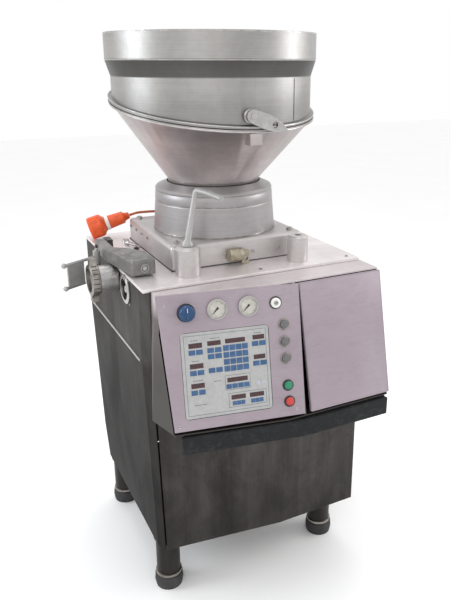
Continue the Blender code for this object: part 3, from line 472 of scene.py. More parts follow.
STEEL_BRIGHT = brushed("bright_steel", (0.54, 0.53, 0.52), (0.44, 0.43, 0.42), EVEN_GRAIN, 0.30, stain=0.15,
                       stain_scale=40.0, bump=0.015).material
STEEL_WORN = brushed("worn_steel", (0.42, 0.40, 0.37), (0.20, 0.18, 0.16), (90.0, 90.0, 90.0), 0.36,
                     stain=0.5, stain_scale=30.0).material
LILAC = make_lilac()
CASTING = make_casting("dark_casting", (0.045, 0.043, 0.042), (0.130, 0.122, 0.115))
GEAR_METAL = make_casting("gear_casting", (0.200, 0.195, 0.190), (0.255, 0.248, 0.240))
RUBBER = make_rubber()
STRIP = make_foam_strip()
BRASS = brushed("dull_brass", (0.60, 0.55, 0.42), (0.40, 0.36, 0.27), (70.0, 70.0, 70.0), 0.36, stain=0.5,
                stain_scale=30.0).material
FILM = make_plastic("keypad_film", (0.400, 0.405, 0.400), 0.42, 0.05)
FILM_LINE = make_plastic("film_line", (0.075, 0.090, 0.110), 0.42, 0.05)
KEY_BLUE = make_plastic("key_blue", (0.035, 0.105, 0.240), 0.38)
KEY_PALE = make_plastic("key_pale", (0.46, 0.46, 0.53), 0.40)
BLUE = make_plastic("knob_blue", (0.008, 0.058, 0.165), 0.34)
GREY = make_plastic("button_grey", (0.145, 0.142, 0.148), 0.42)
GREEN = make_plastic("button_green", (0.015, 0.250, 0.130), 0.34)
RED = make_plastic("button_red", (0.600, 0.050, 0.040), 0.34)
WHITE = make_plastic("moulded_white", (0.80, 0.80, 0.77), 0.40, 0.05)
DIAL = make_plastic("dial_card", (0.60, 0.585, 0.53), 0.45, 0.06)
BLACK = make_plastic("moulded_black", (0.012, 0.012, 0.013), 0.40)
ORANGE = make_plastic("plug_orange", (0.800, 0.095, 0.010), 0.40)
CORD_SHEATH = make_plastic("cord_sheath", (0.46, 0.10, 0.025), 0.55, 0.22)
MOTOR = make_plastic("motor_paint", (0.10, 0.15, 0.20), 0.48)
GLASS = make_glass()
DISPLAY = make_display()

CORNERS = ("front_left", "front_right", "rear_left", "rear_right")
FINISHES = {
    STEEL_SIDE: ("left_side_panel",),
    STEEL_PLATE: ("swing_bracket", "clamp_lever"),
    STEEL_CABINET: ("right_side_panel", "front_panel", "rear_panel", "base_plate",
                    *(f"leg_{corner}" for corner in CORNERS)),
    STEEL_DECK: ("deck_plate",),
    STEEL_CONSOLE: ("console_housing",),
    STEEL_NECK: ("hopper_neck",),
    STEEL_BLOCK: ("pump_housing", "clamp_post", "guide_post"),
    STEEL_HOPPER: ("upper_hopper",),
    STEEL_CONE: ("lower_hopper",),
    STEEL_BRIGHT: ("outlet_pipe", "hopper_hinge_pin", "port_ring", "drive_spindle", "hook_lever",
                   "pressure_gauge", "vacuum_gauge", "pump_rotor", "feed_auger", "clamp_handle"),
    STEEL_WORN: ("union_nut",),
    LILAC: ("control_panel", "electrics_door"),
    FILM: ("keypad",),
    RUBBER: (*(f"foot_{corner}" for corner in CORNERS), "hopper_seal", "cord_gland"),
    STRIP: ("knee_bar", "knee_pad"),
    CASTING: ("linking_gear_pivot",),
    GEAR_METAL: ("linking_gear_housing",),
    MOTOR: ("drive_motor", "vacuum_pump"),
    BRASS: ("latch_barrel", "latch_tab"),
    BLACK: ("pressure_needle", "vacuum_needle"),
    BLUE: ("selector_knob",),
    WHITE: ("key_switch",),
    GREY: ("grey_button_upper", "grey_button_middle", "grey_button_lower"),
    GREEN: ("start_button",),
    RED: ("stop_button",),
    ORANGE: ("mains_plug",),
}


SOFT_EDGES = {  # metres taken off the sharp edges of folded sheets and milled blocks
    "console_housing": 0.0014, "pump_housing": 0.0022, "deck_plate": 0.0010,
    "left_side_panel": 0.0009, "right_side_panel": 0.0009, "front_panel": 0.0009, "rear_panel": 0.0009,
    "control_panel": 0.0007, "electrics_door": 0.0009, "clamp_handle": 0.0008, "clamp_lever": 0.0008,
}
KEPT = ("mains_plug", "cord_gland")  # the cord's own solids stay as they are
WELD = 0.00001  # metres
FLAT, CREASE, BEVEL_FROM = 0.2, 30, 40  # degrees: merged faces, sharp edges, bevelled edges
CRISP = {"linking_gear_housing": 12, "upper_hopper": 12, "hopper_neck": 20}  # degrees


def dress_frame():
    """Nearly every CAD node is shown by a copy with joined vertices, smooth shading and softened edges."""
    body_of = {node: body for body, nodes in frame["record"]["behaviour"]["bodies"].items() for node in nodes}
    for material, nodes in FINISHES.items():
        for node in nodes:
            if node in KEPT:
                mesh = frame["nodes"][node].data
                mesh.materials.clear()
                mesh.materials.append(material)
                continue
            bm = bmesh.new()
            bm.from_mesh(frame["nodes"][node].data)
            bmesh.ops.remove_doubles(bm, verts=bm.verts, dist=WELD)
            bmesh.ops.dissolve_limit(bm, angle_limit=math.radians(FLAT), verts=bm.verts, edges=bm.edges)
            piece = add_piece(f"{node}_shell", bm, material, body_of[node],
                              smooth=CRISP.get(node, CREASE))
            if node in SOFT_EDGES:
                bevel = piece.modifiers.new("soft_edges", "BEVEL")
                bevel.width = SOFT_EDGES[node]
                bevel.segments = 2
                bevel.limit_method = "ANGLE"
                bevel.angle_limit = math.radians(BEVEL_FROM)
                bevel.harden_normals = True
            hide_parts(node)


# ---- mains cord ----
CORD_RADIUS = 0.0045
COIL_RADIUS = 0.050
COIL_TURNS = 3.75
COIL_CENTRE = Vector((0.1824, 0.1460, 0.0))
EASE = 0.35  # share of a turn over which the cord slides in beside the coil
CLEAR = 0.0003
PLUG_AT = Vector((-0.2626, 0.3680, 1.1610))  # middle of the plug's wide ring
PLUG_TAIL = 0.1265  # from there to where the cord goes in
PLUG_TURN = math.radians(-12)
PLUG_LIFT = math.radians(17)
PLUG_ALONG = Vector((math.cos(PLUG_LIFT) * math.cos(PLUG_TURN), math.cos(PLUG_LIFT) * math.sin(PLUG_TURN),
                     math.sin(PLUG_LIFT)))


def smooth_route(route, spacing):
    """Points about `spacing` apart on a Catmull-Rom curve through the route's own points."""
    ends = [route[0] * 2 - route[1]] + route + [route[-1] * 2 - route[-2]]
    points = []
    for a, b, c, d in zip(ends, ends[1:], ends[2:], ends[3:]):
        steps = max(1, round((c - b).length / spacing))
        for k in range(steps):
            t = k / steps
            points.append(0.5 * ((2 * b) + (c - a) * t + (2 * a - 5 * b + 4 * c - d) * t**2
                                 + (3 * b - a - 3 * c + d) * t**3))
    return points + [route[-1]]


def coil_route(entry_radius):
    """The coil's turns, wound clockwise and rising one cord's width a turn."""
    points = []
    count = round(COIL_TURNS * 20)
    for k in range(1, count):
        turned = COIL_TURNS * k / count
        share = min(1.0, min(turned, COIL_TURNS - turned) / EASE)
        radius = entry_radius + (COIL_RADIUS - entry_radius) * share * share * (3 - 2 * share)
        angle = -2 * math.pi * turned
        height = CORD_RADIUS + 2 * CORD_RADIUS * turned
        points.append(COIL_CENTRE + Vector((radius * math.cos(angle), radius * math.sin(angle), height)))
    return points


def build_cord():
    """From the gland under the base, through a coil, up the back and over the block to the plug."""
    floor = CORD_RADIUS
    x, y = COIL_CENTRE.x, COIL_CENTRE.y
    beside = COIL_RADIUS + 2 * CORD_RADIUS + CLEAR
    start = [(x + 0.140, y + 0.120, 0.1595), (x + 0.140, y + 0.120, 0.110), (x + 0.137, y + 0.108, 0.060),
             (x + 0.126, y + 0.082, 0.020), (x + 0.108, y + 0.055, floor), (x + 0.088, y + 0.032, floor),
             (x + 0.070, y + 0.017, floor), (x + beside, y, floor)]
    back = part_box("deck_plate")[1].y + 0.048
    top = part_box("pump_housing")[1].z + CORD_RADIUS + CLEAR
    coil_top = floor + 2 * CORD_RADIUS * COIL_TURNS
    run = [(x, y + beside, coil_top), (x + 0.026, y + 0.067, 0.033), (x + 0.044, y + 0.086, 0.021),
           (x + 0.052, y + 0.115, 0.009), (x + 0.048, y + 0.155, floor), (x + 0.027, y + 0.210, floor),
           (x + 0.006, y + 0.264, 0.010), (x, y + 0.300, 0.034), (x, back - 0.008, 0.080), (x, back, 0.140),
           (x, back, 0.300), (x - 0.004, back, 0.500), (x - 0.004, back, 0.750), (x, back, 0.920),
           (x, back, 1.010), (x - 0.002, back - 0.008, 1.062), (x - 0.005, back - 0.032, 1.122),
           (x - 0.014, back - 0.075, 1.167), (x - 0.036, back - 0.122, 1.194),
           (x - 0.074, back - 0.150, top + 0.003), (x - 0.125, back - 0.162, top),
           (x - 0.180, back - 0.162, top + 0.002), (x - 0.235, back - 0.155, top + 0.008)]
    tail = PLUG_AT + PLUG_ALONG * PLUG_TAIL
    run += [tail + PLUG_ALONG * 0.028 - Vector((0, 0, 0.001)), tail]
    points = (smooth_route([Vector(p) for p in start], 0.016)[:-1] + coil_route(beside)
              + smooth_route([Vector(p) for p in run], 0.020))

    curve = bpy.data.curves.new("mains_cord", "CURVE")
    curve.dimensions = "3D"
    curve.bevel_depth = CORD_RADIUS
    curve.bevel_resolution = 4
    curve.use_fill_caps = True
    spline = curve.splines.new("POLY")
    spline.points.add(len(points) - 1)
    for point, target in zip(points, spline.points):
        target.co = (*point, 1)
    spline.use_smooth = True
    curve.materials.append(CORD_SHEATH)
    cord = bpy.data.objects.new("mains_cord", curve)
    SCENE.collection.objects.link(cord)
    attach(cord, "machine")
    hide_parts("cord_gland_run", "cord_coil", "cord_plug_run")


def build_plug_details():
    """Pins in the mouth, grip ribs round the ring and the tail's bend relief; Z runs from mouth to tail."""
    side = UP.cross(PLUG_ALONG).normalized()
    matrix = basis(PLUG_AT, side, PLUG_ALONG.cross(side), PLUG_ALONG)
    pins = bmesh.new()
    for k in range(5):
        angle = 2 * math.pi * k / 5 + 0.3
        place = Matrix.Translation((0.023 * math.cos(angle), 0.023 * math.sin(angle), -0.019))
        lathe(pins, [(0, 0), (0.0026, 0.0015), (0.0030, 0.004), (0.0030, 0.0277), (0, 0.0277)], place, 12)
    add_piece("plug_pins", pins, STEEL_BRIGHT, matrix=matrix)
    add_turned("plug_collar", [(0.0240, 0.0375), (0.0262, 0.0385), (0.0262, 0.0495), (0.0240, 0.0505),
                               (0.0236, 0.0440), (0.0240, 0.0375)], WHITE, matrix)
    ribs = bmesh.new()
    for k in range(4):
        height, radius = 0.1095 + 0.0040 * k, 0.0140 - 0.0009 * k
        lathe(ribs, [(radius, height), (radius + 0.0010, height + 0.001), (radius + 0.0006, height + 0.0026),
                     (radius - 0.001, height + 0.003), (radius - 0.002, height + 0.0015), (radius, height)],
              steps=28)
    for k in range(14):
        angle = 2 * math.pi * k / 14
        slab(ribs, (-0.0011, 0.0385, -0.017), (0.0011, 0.0406, 0.017), spun(angle), bevel=0.0005)
    add_piece("plug_ribs", ribs, ORANGE, matrix=matrix)


# ---- control panel ----
KEYPAD_WIDE, KEYPAD_TALL = 0.264, 0.254
PANEL_DROP = 0.0015  # from the keypad's face to the panel's


def keypad_layout():
    """Every window and key: its kind, and the u and v of its centre, its width and its height in metres."""
    items = []

    def pair(u, v):
        return [("blue", u + side * 0.011, v, 0.0195, 0.0145) for side in (-1, 1)]

    for v in (0.039, 0.099, 0.157):  # left column: a window with two keys under it
        items.append(("window", 0.043, v, 0.040, 0.015))
        items += pair(0.043, v + 0.020)
    items.append(("window", 0.098, 0.037, 0.040, 0.014))  # second column: a window over three rows of keys
    for v in (0.058, 0.076, 0.117):
        items += pair(0.098, v)
    items.append(("window", 0.161, 0.036, 0.060, 0.014))  # number block: four by four keys
    for row in range(4):
        v = 0.056 + 0.0205 * row
        items += [("blue", 0.1325 + 0.019 * column, v, 0.0172, 0.0165) for column in range(4)]
    for v in (0.034, 0.093):  # right column
        items.append(("window", 0.232, v, 0.036, 0.014))
        items += pair(0.232, v + 0.019)
    items += [("pale", 0.222 + 0.019 * k, 0.171, 0.014, 0.010) for k in range(2)]
    items.append(("window", 0.161, 0.152, 0.062, 0.014))
    items += [("blue", 0.1345 + 0.0178 * k, 0.171, 0.0162, 0.0140) for k in range(4)]
    for u in (0.161, 0.217):  # bottom row
        items.append(("window", u, 0.205, 0.044, 0.014))
        items += [("blue", u - 0.013 + 0.013 * k, 0.223, 0.0122, 0.0125) for k in range(3)]
    return items


def outline(bm, u0, v0, u1, v1, half, depth, material=0):
    """Four thin bars round a rectangle of the keypad, each `half` wide to both sides of its line."""
    for left, top, right, bottom in ((u0, v0, u1, v0), (u0, v1, u1, v1), (u0, v0, u0, v1), (u1, v0, u1, v1)):
        slab(bm, (left - half, -bottom - half, depth[0]), (right + half, -top + half, depth[1]),
             material=material)


def build_keypad_details():
    """Windows, keys, frames and plain bars on the keypad's film."""
    bm = bmesh.new()
    looks = {"window": 0, "blue": 1, "pale": 2}
    for kind, u, v, wide, high in keypad_layout():
        proud = 0.0003 if kind == "window" else 0.0009
        slab(bm, (u - wide / 2, -v - high / 2, -0.0006), (u + wide / 2, -v + high / 2, proud),
             material=looks[kind], bevel=0.0006)
    add_piece("keypad_keys", bm, [DISPLAY, KEY_BLUE, KEY_PALE], "machine", PANEL)

    lines = bmesh.new()
    frames = ((0.010, 0.010, KEYPAD_WIDE - 0.010, KEYPAD_TALL - 0.010), (0.124, 0.138, 0.199, 0.181),
              (0.132, 0.192, 0.246, 0.234))
    for bounds in frames:
        outline(lines, *bounds, 0.0005, (-0.0003, 0.00018))
    for u, v, count in ((0.030, 0.024, 3), (0.086, 0.023, 4), (0.219, 0.021, 3), (0.030, 0.084, 3),
                        (0.030, 0.142, 4), (0.030, 0.214, 5), (0.090, 0.150, 3)):
        for k in range(count):  # plain bars where a maker's words would be
            left = u + 0.0075 * k
            slab(lines, (left, -v - 0.0012, -0.0003), (left + 0.0055, -v + 0.0008, 0.00018))
    outline(lines, 0, 0, KEYPAD_WIDE, KEYPAD_TALL, 0.0009, (-0.0008, 0.0002), 1)
    add_piece("keypad_lines", lines, [FILM_LINE, BLACK], "machine", PANEL)


def build_gauge(kind):
    """White dial with a scale, a bright bezel lip, a hub on the pointer and a glass."""
    matrix = basis(joint_at(f"{kind}_pointer_turn"), *PANEL_AXES)
    dial = bmesh.new()
    lathe(dial, [(0, -0.0002), (0.0262, -0.0002), (0.0262, -0.0009), (0, -0.0009)], steps=48)
    for k in range(31):  # scale marks over 270 degrees, each fifth one bolder
        turn = spun(math.radians(225 - 9 * k))
        long, half = (0.0025, 0.00025) if k % 5 else (0.0045, 0.00045)
        slab(dial, (0.0235 - long, -half, -0.0002), (0.0235, half, 0.00005), turn, material=1)
    add_piece(f"{kind}_dial", dial, [DIAL, BLACK], matrix=matrix)
    add_turned(f"{kind}_bezel", [(0.0266, 0.0042), (0.0302, 0.0042), (0.0306, 0.0032), (0.0306, -0.0022),
                                 (0.0301, -0.0026), (0.0301, 0.0030), (0.0266, 0.0040), (0.0266, 0.0042)],
               STEEL_BRIGHT, matrix, steps=48)
    add_turned(f"{kind}_hub", [(0, 0.0018), (0.0022, 0.0016), (0.0030, 0.0010), (0.0030, 0.0007),
                               (0, 0.0007)], BLACK, matrix, f"{kind}_pointer", 20)
    add_turned(f"{kind}_glass", [(0, 0.0034), (0.0263, 0.0032), (0.0263, 0.0026), (0, 0.0028)], GLASS, matrix,
               steps=48)


def build_knob_details():
    """Grip, pointer and ring of the selector knob, and the slot and collar of the key switch."""
    matrix = basis(joint_at("knob_turn"), *PANEL_AXES)
    bm = bmesh.new()
    for k in range(12):
        slab(bm, (-0.0016, 0.0205, 0.002), (0.0016, 0.0236, 0.0205), spun(math.pi * k / 6),
             bevel=0.0006)
    slab(bm, (-0.0045, -0.0170, 0.0255), (0.0045, 0.0170, 0.0300), bevel=0.0018)
    slab(bm, (-0.0008, 0.0040, 0.0300), (0.0008, 0.0160, 0.0303), material=1)
    add_piece("knob_grip", bm, [BLUE, WHITE], "knob", matrix)
    add_turned("knob_ring", [(0.0235, 0.0003), (0.0268, 0.0003), (0.0268, 0.0011), (0.0235, 0.0014),
                             (0.0235, 0.0003)], BLACK, matrix)

    matrix = basis(joint_at("key_turn"), *PANEL_AXES)
    bm = bmesh.new()
    lathe(bm, [(0, 0.0100), (0.0070, 0.0098), (0.0078, 0.0088), (0, 0.0088)], steps=24)
    slab(bm, (-0.0055, -0.0010, 0.0098), (0.0055, 0.0010, 0.0104), material=1)
    add_piece("key_slot", bm, [STEEL_BRIGHT, BLACK], "key", matrix=matrix)
    add_turned("key_collar", [(0.0158, 0.0003), (0.0190, 0.0003), (0.0190, 0.0016), (0.0175, 0.0022),
                              (0.0158, 0.0022), (0.0158, 0.0003)], BLACK, matrix,
               steps=36)


def build_button_details():
    """A turned collar round each push button, and a dished cap that moves with it."""
    levels = ("upper", "middle", "lower")
    greys = [(f"grey_{level}", f"grey_button_{level}", GREY, "grey_button") for level in levels]
    coloured = [("start", "start_button", GREEN, "green_button"), ("stop", "stop_button", RED, "red_button")]
    out = PANEL_AXES[2]
    for body, node, material, slot in greys + coloured:
        points = [v.co for v in frame["nodes"][node].data.vertices]
        centre = sum(points, Vector()) / len(points)
        face = max(p.dot(out) for p in points)
        panel_face = PANEL.translation.dot(out) + PANEL_DROP
        matrix = basis(centre + out * (panel_face - centre.dot(out)), *PANEL_AXES)
        add_turned(f"{body}_collar", [(0.0134, 0.0003), (0.0172, 0.0003), (0.0172, 0.0020), (0.0160, 0.0032),
                                      (0.0134, 0.0034), (0.0134, 0.0003)],
                   STEEL_WORN if material is GREY else BLACK, matrix, steps=36)
        height = face - panel_face
        add_turned(f"{body}_cap", [(0, height + 0.0002), (0.0070, height + 0.0005), (0.0098, height + 0.0011),
                                   (0.0110, height + 0.0006), (0.0112, height - 0.0004),
                                   (0, height - 0.0004)], material, matrix, body, 32)


def screw_head(bm, matrix, radius, height=0.0018):
    lathe(bm, [(0, height), (radius * 0.6, height), (radius * 0.95, height * 0.55), (radius, 0), (0, 0)],
          matrix, 18)
    slab(bm, (-radius * 0.75, -radius * 0.13, height * 0.85), (radius * 0.75, radius * 0.13, height * 1.04),
         matrix, material=1)


def socket_head(bm, matrix, radius, height):
    lathe(bm, [(0, height * 0.4), (radius * 0.5, height * 0.4), (radius * 0.5, height),
               (radius * 0.86, height), (radius, height * 0.86), (radius, 0), (0, 0)], matrix, 20)


def build_panel_screws():
    """Slotted screws at the control panel's corners and along its top."""
    bm = bmesh.new()
    for u, v in ((-0.036, -0.083), (0.155, -0.087), (0.341, -0.089), (-0.018, 0.270), (0.339, 0.266)):
        matrix = PANEL @ Matrix.Translation((u, -v, PANEL_DROP)) @ spun(17 * u)
        screw_head(bm, matrix, 0.0048)
    add_piece("panel_screws", bm, [STEEL_BRIGHT, BLACK])


def build_console_details():
    """The folded lip and the hinge knuckles of the right-hand cover."""
    low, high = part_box("electrics_door")
    hinge = joint_at("electrics_cover_open")
    up = joint_axis("electrics_cover_open")
    matrix = basis(hinge, RIGHT, up, RIGHT.cross(up))
    width = high.x - low.x
    tall = (high.z - low.z) / up.z
    inset = 0.004
    left, right, top, bottom = -width + inset, -inset, -inset, -tall + inset
    loop = [(x, y, -0.0007) for x, y in ((left, top), (right, top), (right, bottom), (left, bottom))]
    add_beads("door_fold", [(loop, 0.0012)], LILAC, "electrics_cover", matrix)

    knuckles = bmesh.new()
    for k in range(3):
        spot = hinge + up * (-0.075 - 0.125 * k) + Vector((-0.0045, 0.0085, 0))
        place = basis(spot, RIGHT, -RIGHT.cross(up), -up)
        lathe(knuckles, [(0, 0), (0.0042, 0.0006), (0.0042, 0.0494), (0, 0.05)], place, 16)
    add_piece("door_knuckles", knuckles, STEEL_WORN, "electrics_cover")


# ---- hopper ----
def split_height(x, y, lift=0.0):
    """Height of the hopper's sloping joint at a place measured from its axis."""
    return lift + SPLIT[0] + SPLIT[1] * x + SPLIT[2] * y


def split_plane():
    """The joint's height on the axis and its slopes, from the seal's own points."""
    points = [v.co - AXIS for v in frame["nodes"]["hopper_seal"].data.vertices]
    top = max(points, key=lambda p: p.y)
    bottom = min(points, key=lambda p: p.y)
    left = min(points, key=lambda p: p.x)
    right = max(points, key=lambda p: p.x)
    slope_y = (top.z - bottom.z) / (top.y - bottom.y)
    slope_x = (right.z - left.z - slope_y * (right.y - left.y)) / (right.x - left.x)
    middle_z = sum(p.z for p in points) / len(points) + AXIS.z
    return middle_z, slope_x, slope_y


SPLIT = split_plane()
DRUM_RADIUS, FLANGE_RADIUS, CONE_FOOT_RADIUS = 0.32, 0.3306, 0.1532
CONE_FOOT_Z, WELD_TOP = 1.3615, 1.684
WELD_ANGLE = math.radians(-63)  # where the drum's seam runs up
NECK_STEPS = ((0.1965, 1.2925), (0.1945, 1.3265))  # radius and height of the neck's two steps


def tilted_circle(radius, lift):
    """Points of a circle on the sloping joint, raised by lift."""
    points = []
    for k in range(96):
        angle = 2 * math.pi * k / 96
        x, y = radius * math.cos(angle), radius * math.sin(angle)
        points.append(Vector((AXIS.x + x, AXIS.y + y, split_height(x, y, lift))))
    return points


def build_hopper_details():
    """Beads on the rim and the two flanges, the drum's upright seam and the weld at the cone's foot."""
    rim_low, rim_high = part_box("upper_hopper")
    radius = (rim_high.x - rim_low.x) / 2
    rim = bmesh.new()
    tube(rim, circle(radius - 0.0030, rim_high.z - 0.0030, 96), 0.0030, 10, closed=True)
    tube(rim, circle(radius - 0.0010, rim_high.z - 0.0790, 96), 0.0018, 8, closed=True)
    add_piece("rim_bead", rim, STEEL_BRIGHT, "hopper_top")
    weld = bmesh.new()
    seam = Vector((math.cos(WELD_ANGLE), math.sin(WELD_ANGLE), 0))
    low = split_height(DRUM_RADIUS * seam.x, DRUM_RADIUS * seam.y, 0.016)
    spot = Vector((AXIS.x, AXIS.y, low)) + (DRUM_RADIUS + 0.0003) * seam
    tube(weld, [spot, spot + UP * (WELD_TOP - low)], 0.0009, 6)
    add_piece("drum_weld", weld, STEEL_HOPPER, "hopper_top")
    for name, lift, body in (("upper_flange_lip", 0.0085, "hopper_top"),
                             ("lower_flange_lip", -0.0055, "machine")):
        add_beads(name, [(tilted_circle(FLANGE_RADIUS, lift), 0.0020)], STEEL_BRIGHT, body)
    add_beads("cone_weld", [(circle(CONE_FOOT_RADIUS, CONE_FOOT_Z), 0.0016)], STEEL_WORN)


def build_clamp_details():
    """Nut and washer on the clamp's screw, and two rings round the boss behind them."""
    turn = joint_at("hopper_clamp_turn")
    nut = bmesh.new()
    matrix = facing(Vector((turn.x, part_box("clamp_handle")[0].y, turn.z)), FRONT)
    lathe(nut, [(0, 0.0062), (0.0085, 0.0062), (0.0098, 0.0050), (0.0098, 0.0003), (0, 0.0003)], matrix, 6)
    lathe(nut, [(0, 0.0010), (0.0150, 0.0010), (0.0155, 0.0001), (0, 0.0001)], matrix, 28)
    add_piece("clamp_nut", nut, STEEL_BRIGHT, "hopper_clamp", smooth=25)
    collar = bmesh.new()
    place = facing(Vector((turn.x, turn.y + 0.006, turn.z)), FRONT)
    for height in (-0.010, -0.004):
        lathe(collar, [(0.0182, height), (0.0200, height + 0.001), (0.0200, height + 0.003),
                       (0.0182, height + 0.004), (0.0180, height + 0.002), (0.0182, height)], place, 28)
    add_piece("clamp_boss_rings", collar, STEEL_BRIGHT, "hopper_top")


# ---- neck, pump block and deck ----
def corners(low, high, inset=0.0):
    """The four corners of a box seen from above, moved inwards by inset."""
    left, right, front, back = low.x + inset, high.x - inset, low.y + inset, high.y - inset
    return [(left, front), (right, front), (right, back), (left, back)]


def build_block_details():
    """Socket screws on the pump block, a dark rubber bead round its foot as painted shade where it meets the deck,
    and the rings of the neck.
    """
    low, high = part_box("pump_housing")
    bolts = bmesh.new()
    for x in (low.x + 0.030, high.x - 0.030):
        for y in (low.y + 0.034, high.y - 0.034):
            socket_head(bolts, Matrix.Translation((x, y, high.z + 0.0002)), 0.0105, 0.008)
    for k in range(4):
        spot = Vector((low.x + (high.x - low.x) * (0.18 + 0.21 * k), low.y - 0.0003, low.z + 0.128))
        socket_head(bolts, facing(spot, FRONT), 0.0055, 0.0035)
    for k in range(4):
        spot = Vector((low.x - 0.0003, low.y + (high.y - low.y) * (0.52 + 0.14 * k), low.z + 0.150))
        socket_head(bolts, facing(spot, LEFT), 0.0055, 0.0035)
    add_piece("block_bolts", bolts, STEEL_BRIGHT)

    # painted shade: a dark rubber bead where the block's foot meets the deck
    sides = [(x, y, DECK_Z + 0.0012) for x, y in corners(low, high)]
    add_beads("block_foot_shade_bead", [(sides, 0.0019)], RUBBER)

    neck_low, neck_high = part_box("hopper_neck")
    radius = (neck_high.x - neck_low.x) / 2
    rings = [(circle(radius - 0.0012, neck_low.z + 0.0026), 0.0020)]
    rings += [(circle(*step), 0.0016) for step in NECK_STEPS]
    add_beads("neck_rings", rings, STEEL_WORN)


def build_deck_details():
    """The deck's folded edge and its screws."""
    low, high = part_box("deck_plate")
    edges = [([(x, y, z) for x, y in corners(low, high, 0.0011)], radius)
             for z, radius in ((high.z - 0.0008, 0.0012), (low.z - 0.0012, 0.0024))]
    add_beads("deck_edge", edges, STEEL_DECK)
    screws = bmesh.new()
    left, right, front, back = low.x + 0.035, high.x - 0.030, low.y + 0.030, high.y - 0.030
    for x, y in ((right, front), (right, back), (right, CENTRE.y), (left, back), (CENTRE.x, back),
                 (CENTRE.x + 0.02, front)):
        place = Matrix.Translation((x, y, high.z + 0.0002)) @ spun(31 * x)
        screw_head(screws, place, 0.006, 0.0022)
    add_piece("deck_screws", screws, [STEEL_WORN, BLACK])


def build_latch_details():
    """Knurling of the latch's barrel and a rim round the tab's eye."""
    low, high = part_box("latch_barrel")
    centre = (low + high) / 2
    radius = (high.z - low.z) / 2
    matrix = facing(Vector((low.x, centre.y, centre.z)), RIGHT)
    knurl = bmesh.new()
    for k in range(9):
        height = 0.0035 + 0.0042 * k
        lathe(knurl, [(radius - 0.0006, height), (radius + 0.0003, height + 0.0006),
                      (radius + 0.0003, height + 0.0020), (radius - 0.0006, height + 0.0026),
                      (radius - 0.0014, height + 0.0013), (radius - 0.0006, height)], matrix, 36)
    add_piece("latch_ribs", knurl, BRASS)
    pivot = joint_at("latch_turn")
    pin = bmesh.new()
    place = facing(Vector((pivot.x + 0.009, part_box("latch_tab")[0].y, pivot.z + 0.001)), FRONT)
    lathe(pin, [(0, 0.0022), (0.0036, 0.0016), (0.0042, 0.0001), (0, 0.0001)], place, 18)
    lathe(pin, [(0.0056, 0.0001), (0.0062, 0.0010), (0.0078, 0.0010), (0.0084, 0.0001), (0.0056, 0.0001)],
          place @ Matrix.Translation((0.006, -0.017, 0)), 28)
    add_piece("latch_rivet", pin, STEEL_BRIGHT, "latch")


# ---- left side ----
PORT_BOLTS = 0.0535  # radius of the circle that the drive port's bolts stand on


def build_outlet_details():
    """Threads inside the pipe's mouth, ribs round the union nut, and bolts round the drive port."""
    mouth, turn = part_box("outlet_pipe")[0], joint_at("nut_turn")
    mouth = facing(Vector((mouth.x, turn.y, turn.z)), RIGHT)
    threads = bmesh.new()
    for k in range(4):
        height = 0.0040 + 0.0032 * k
        radius = 0.0362 - 0.0022 * k
        lathe(threads, [(radius, height), (radius - 0.0012, height + 0.0008), (radius, height + 0.0018),
                        (radius + 0.0012, height + 0.0010), (radius, height)], mouth, 40)
    add_piece("pipe_threads", threads, STEEL_WORN)
    ribs = bmesh.new()
    place = facing(Vector((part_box("union_nut")[0].x, turn.y, turn.z)), RIGHT)
    for k in range(20):
        angle = 2 * math.pi * k / 20
        if abs(math.cos(angle)) > 0.24:
            slab(ribs, (-0.0014, 0.0490, 0.005), (0.0014, 0.0508, 0.023),
                 place @ spun(angle + math.pi / 2), bevel=0.0006)
    add_piece("nut_ribs", ribs, CASTING, "nut")

    ring_low, ring_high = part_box("port_ring")
    centre = (ring_low + ring_high) / 2
    bolts = bmesh.new()
    for k in range(4):
        angle = math.radians(45 + 90 * k)
        spot = Vector((ring_high.x, centre.y + PORT_BOLTS * math.cos(angle),
                       centre.z + PORT_BOLTS * math.sin(angle)))
        screw_head(bolts, facing(spot - Vector((0.0003, 0, 0)), LEFT), 0.0042, 0.0022)
    add_piece("port_bolts", bolts, [STEEL_WORN, BLACK])
    spline = bmesh.new()
    spin = joint_at("spindle_spin")
    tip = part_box("drive_spindle")[0].x
    for k in range(8):
        slab(spline, (-0.0014, 0.0112, 0.004), (0.0014, 0.0136, 0.026),
             facing(Vector((tip, spin.y, spin.z)), RIGHT) @ spun(math.pi * k / 4),
             bevel=0.0005)
    add_piece("spindle_splines", spline, STEEL_WORN, "spindle")


def build_gear_details():
    """Cover screws and a round cap on the linking gear, and the black grip of the hook lever."""
    low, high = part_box("linking_gear_housing")
    screws = bmesh.new()
    for x, y in ((0.018, 0.014), (0.060, 0.014), (0.018, 0.150), (0.064, 0.098)):
        spot = Vector((high.x - 0.006 - x, low.y + y, high.z + 0.0001))
        screw_head(screws, Matrix.Translation(spot), 0.0045, 0.0020)
    front = Vector((high.x - 0.034, low.y - 0.0001, (low.z + high.z) / 2))
    cap = facing(front, FRONT)
    lathe(screws, [(0, 0.0014), (0.0062, 0.0014), (0.0070, 0.0004), (0, 0.0004)], cap, 28)
    lathe(screws, [(0.0100, 0.0002), (0.0106, 0.0016), (0.0128, 0.0016), (0.0134, 0.0002), (0.0100, 0.0002)],
          cap, 32)
    add_piece("gear_screws", screws, [STEEL_BRIGHT, BLACK], "linking_gear")
    points = sorted((v.co for v in frame["nodes"]["hook_lever"].data.vertices), key=lambda p: p.y)[:10]
    tip = sum(points, Vector()) / len(points)
    place = facing(tip - Vector((0.0035, 0.004, 0)), Vector((-0.76, -0.64, 0)))
    profile = [(0, 0.0125), (0.0060, 0.0120), (0.0078, 0.0085), (0.0078, 0.0020), (0.0066, 0), (0, 0)]
    add_piece("hook_grip", lathe(bmesh.new(), profile, place, 20), BLACK, "hook")


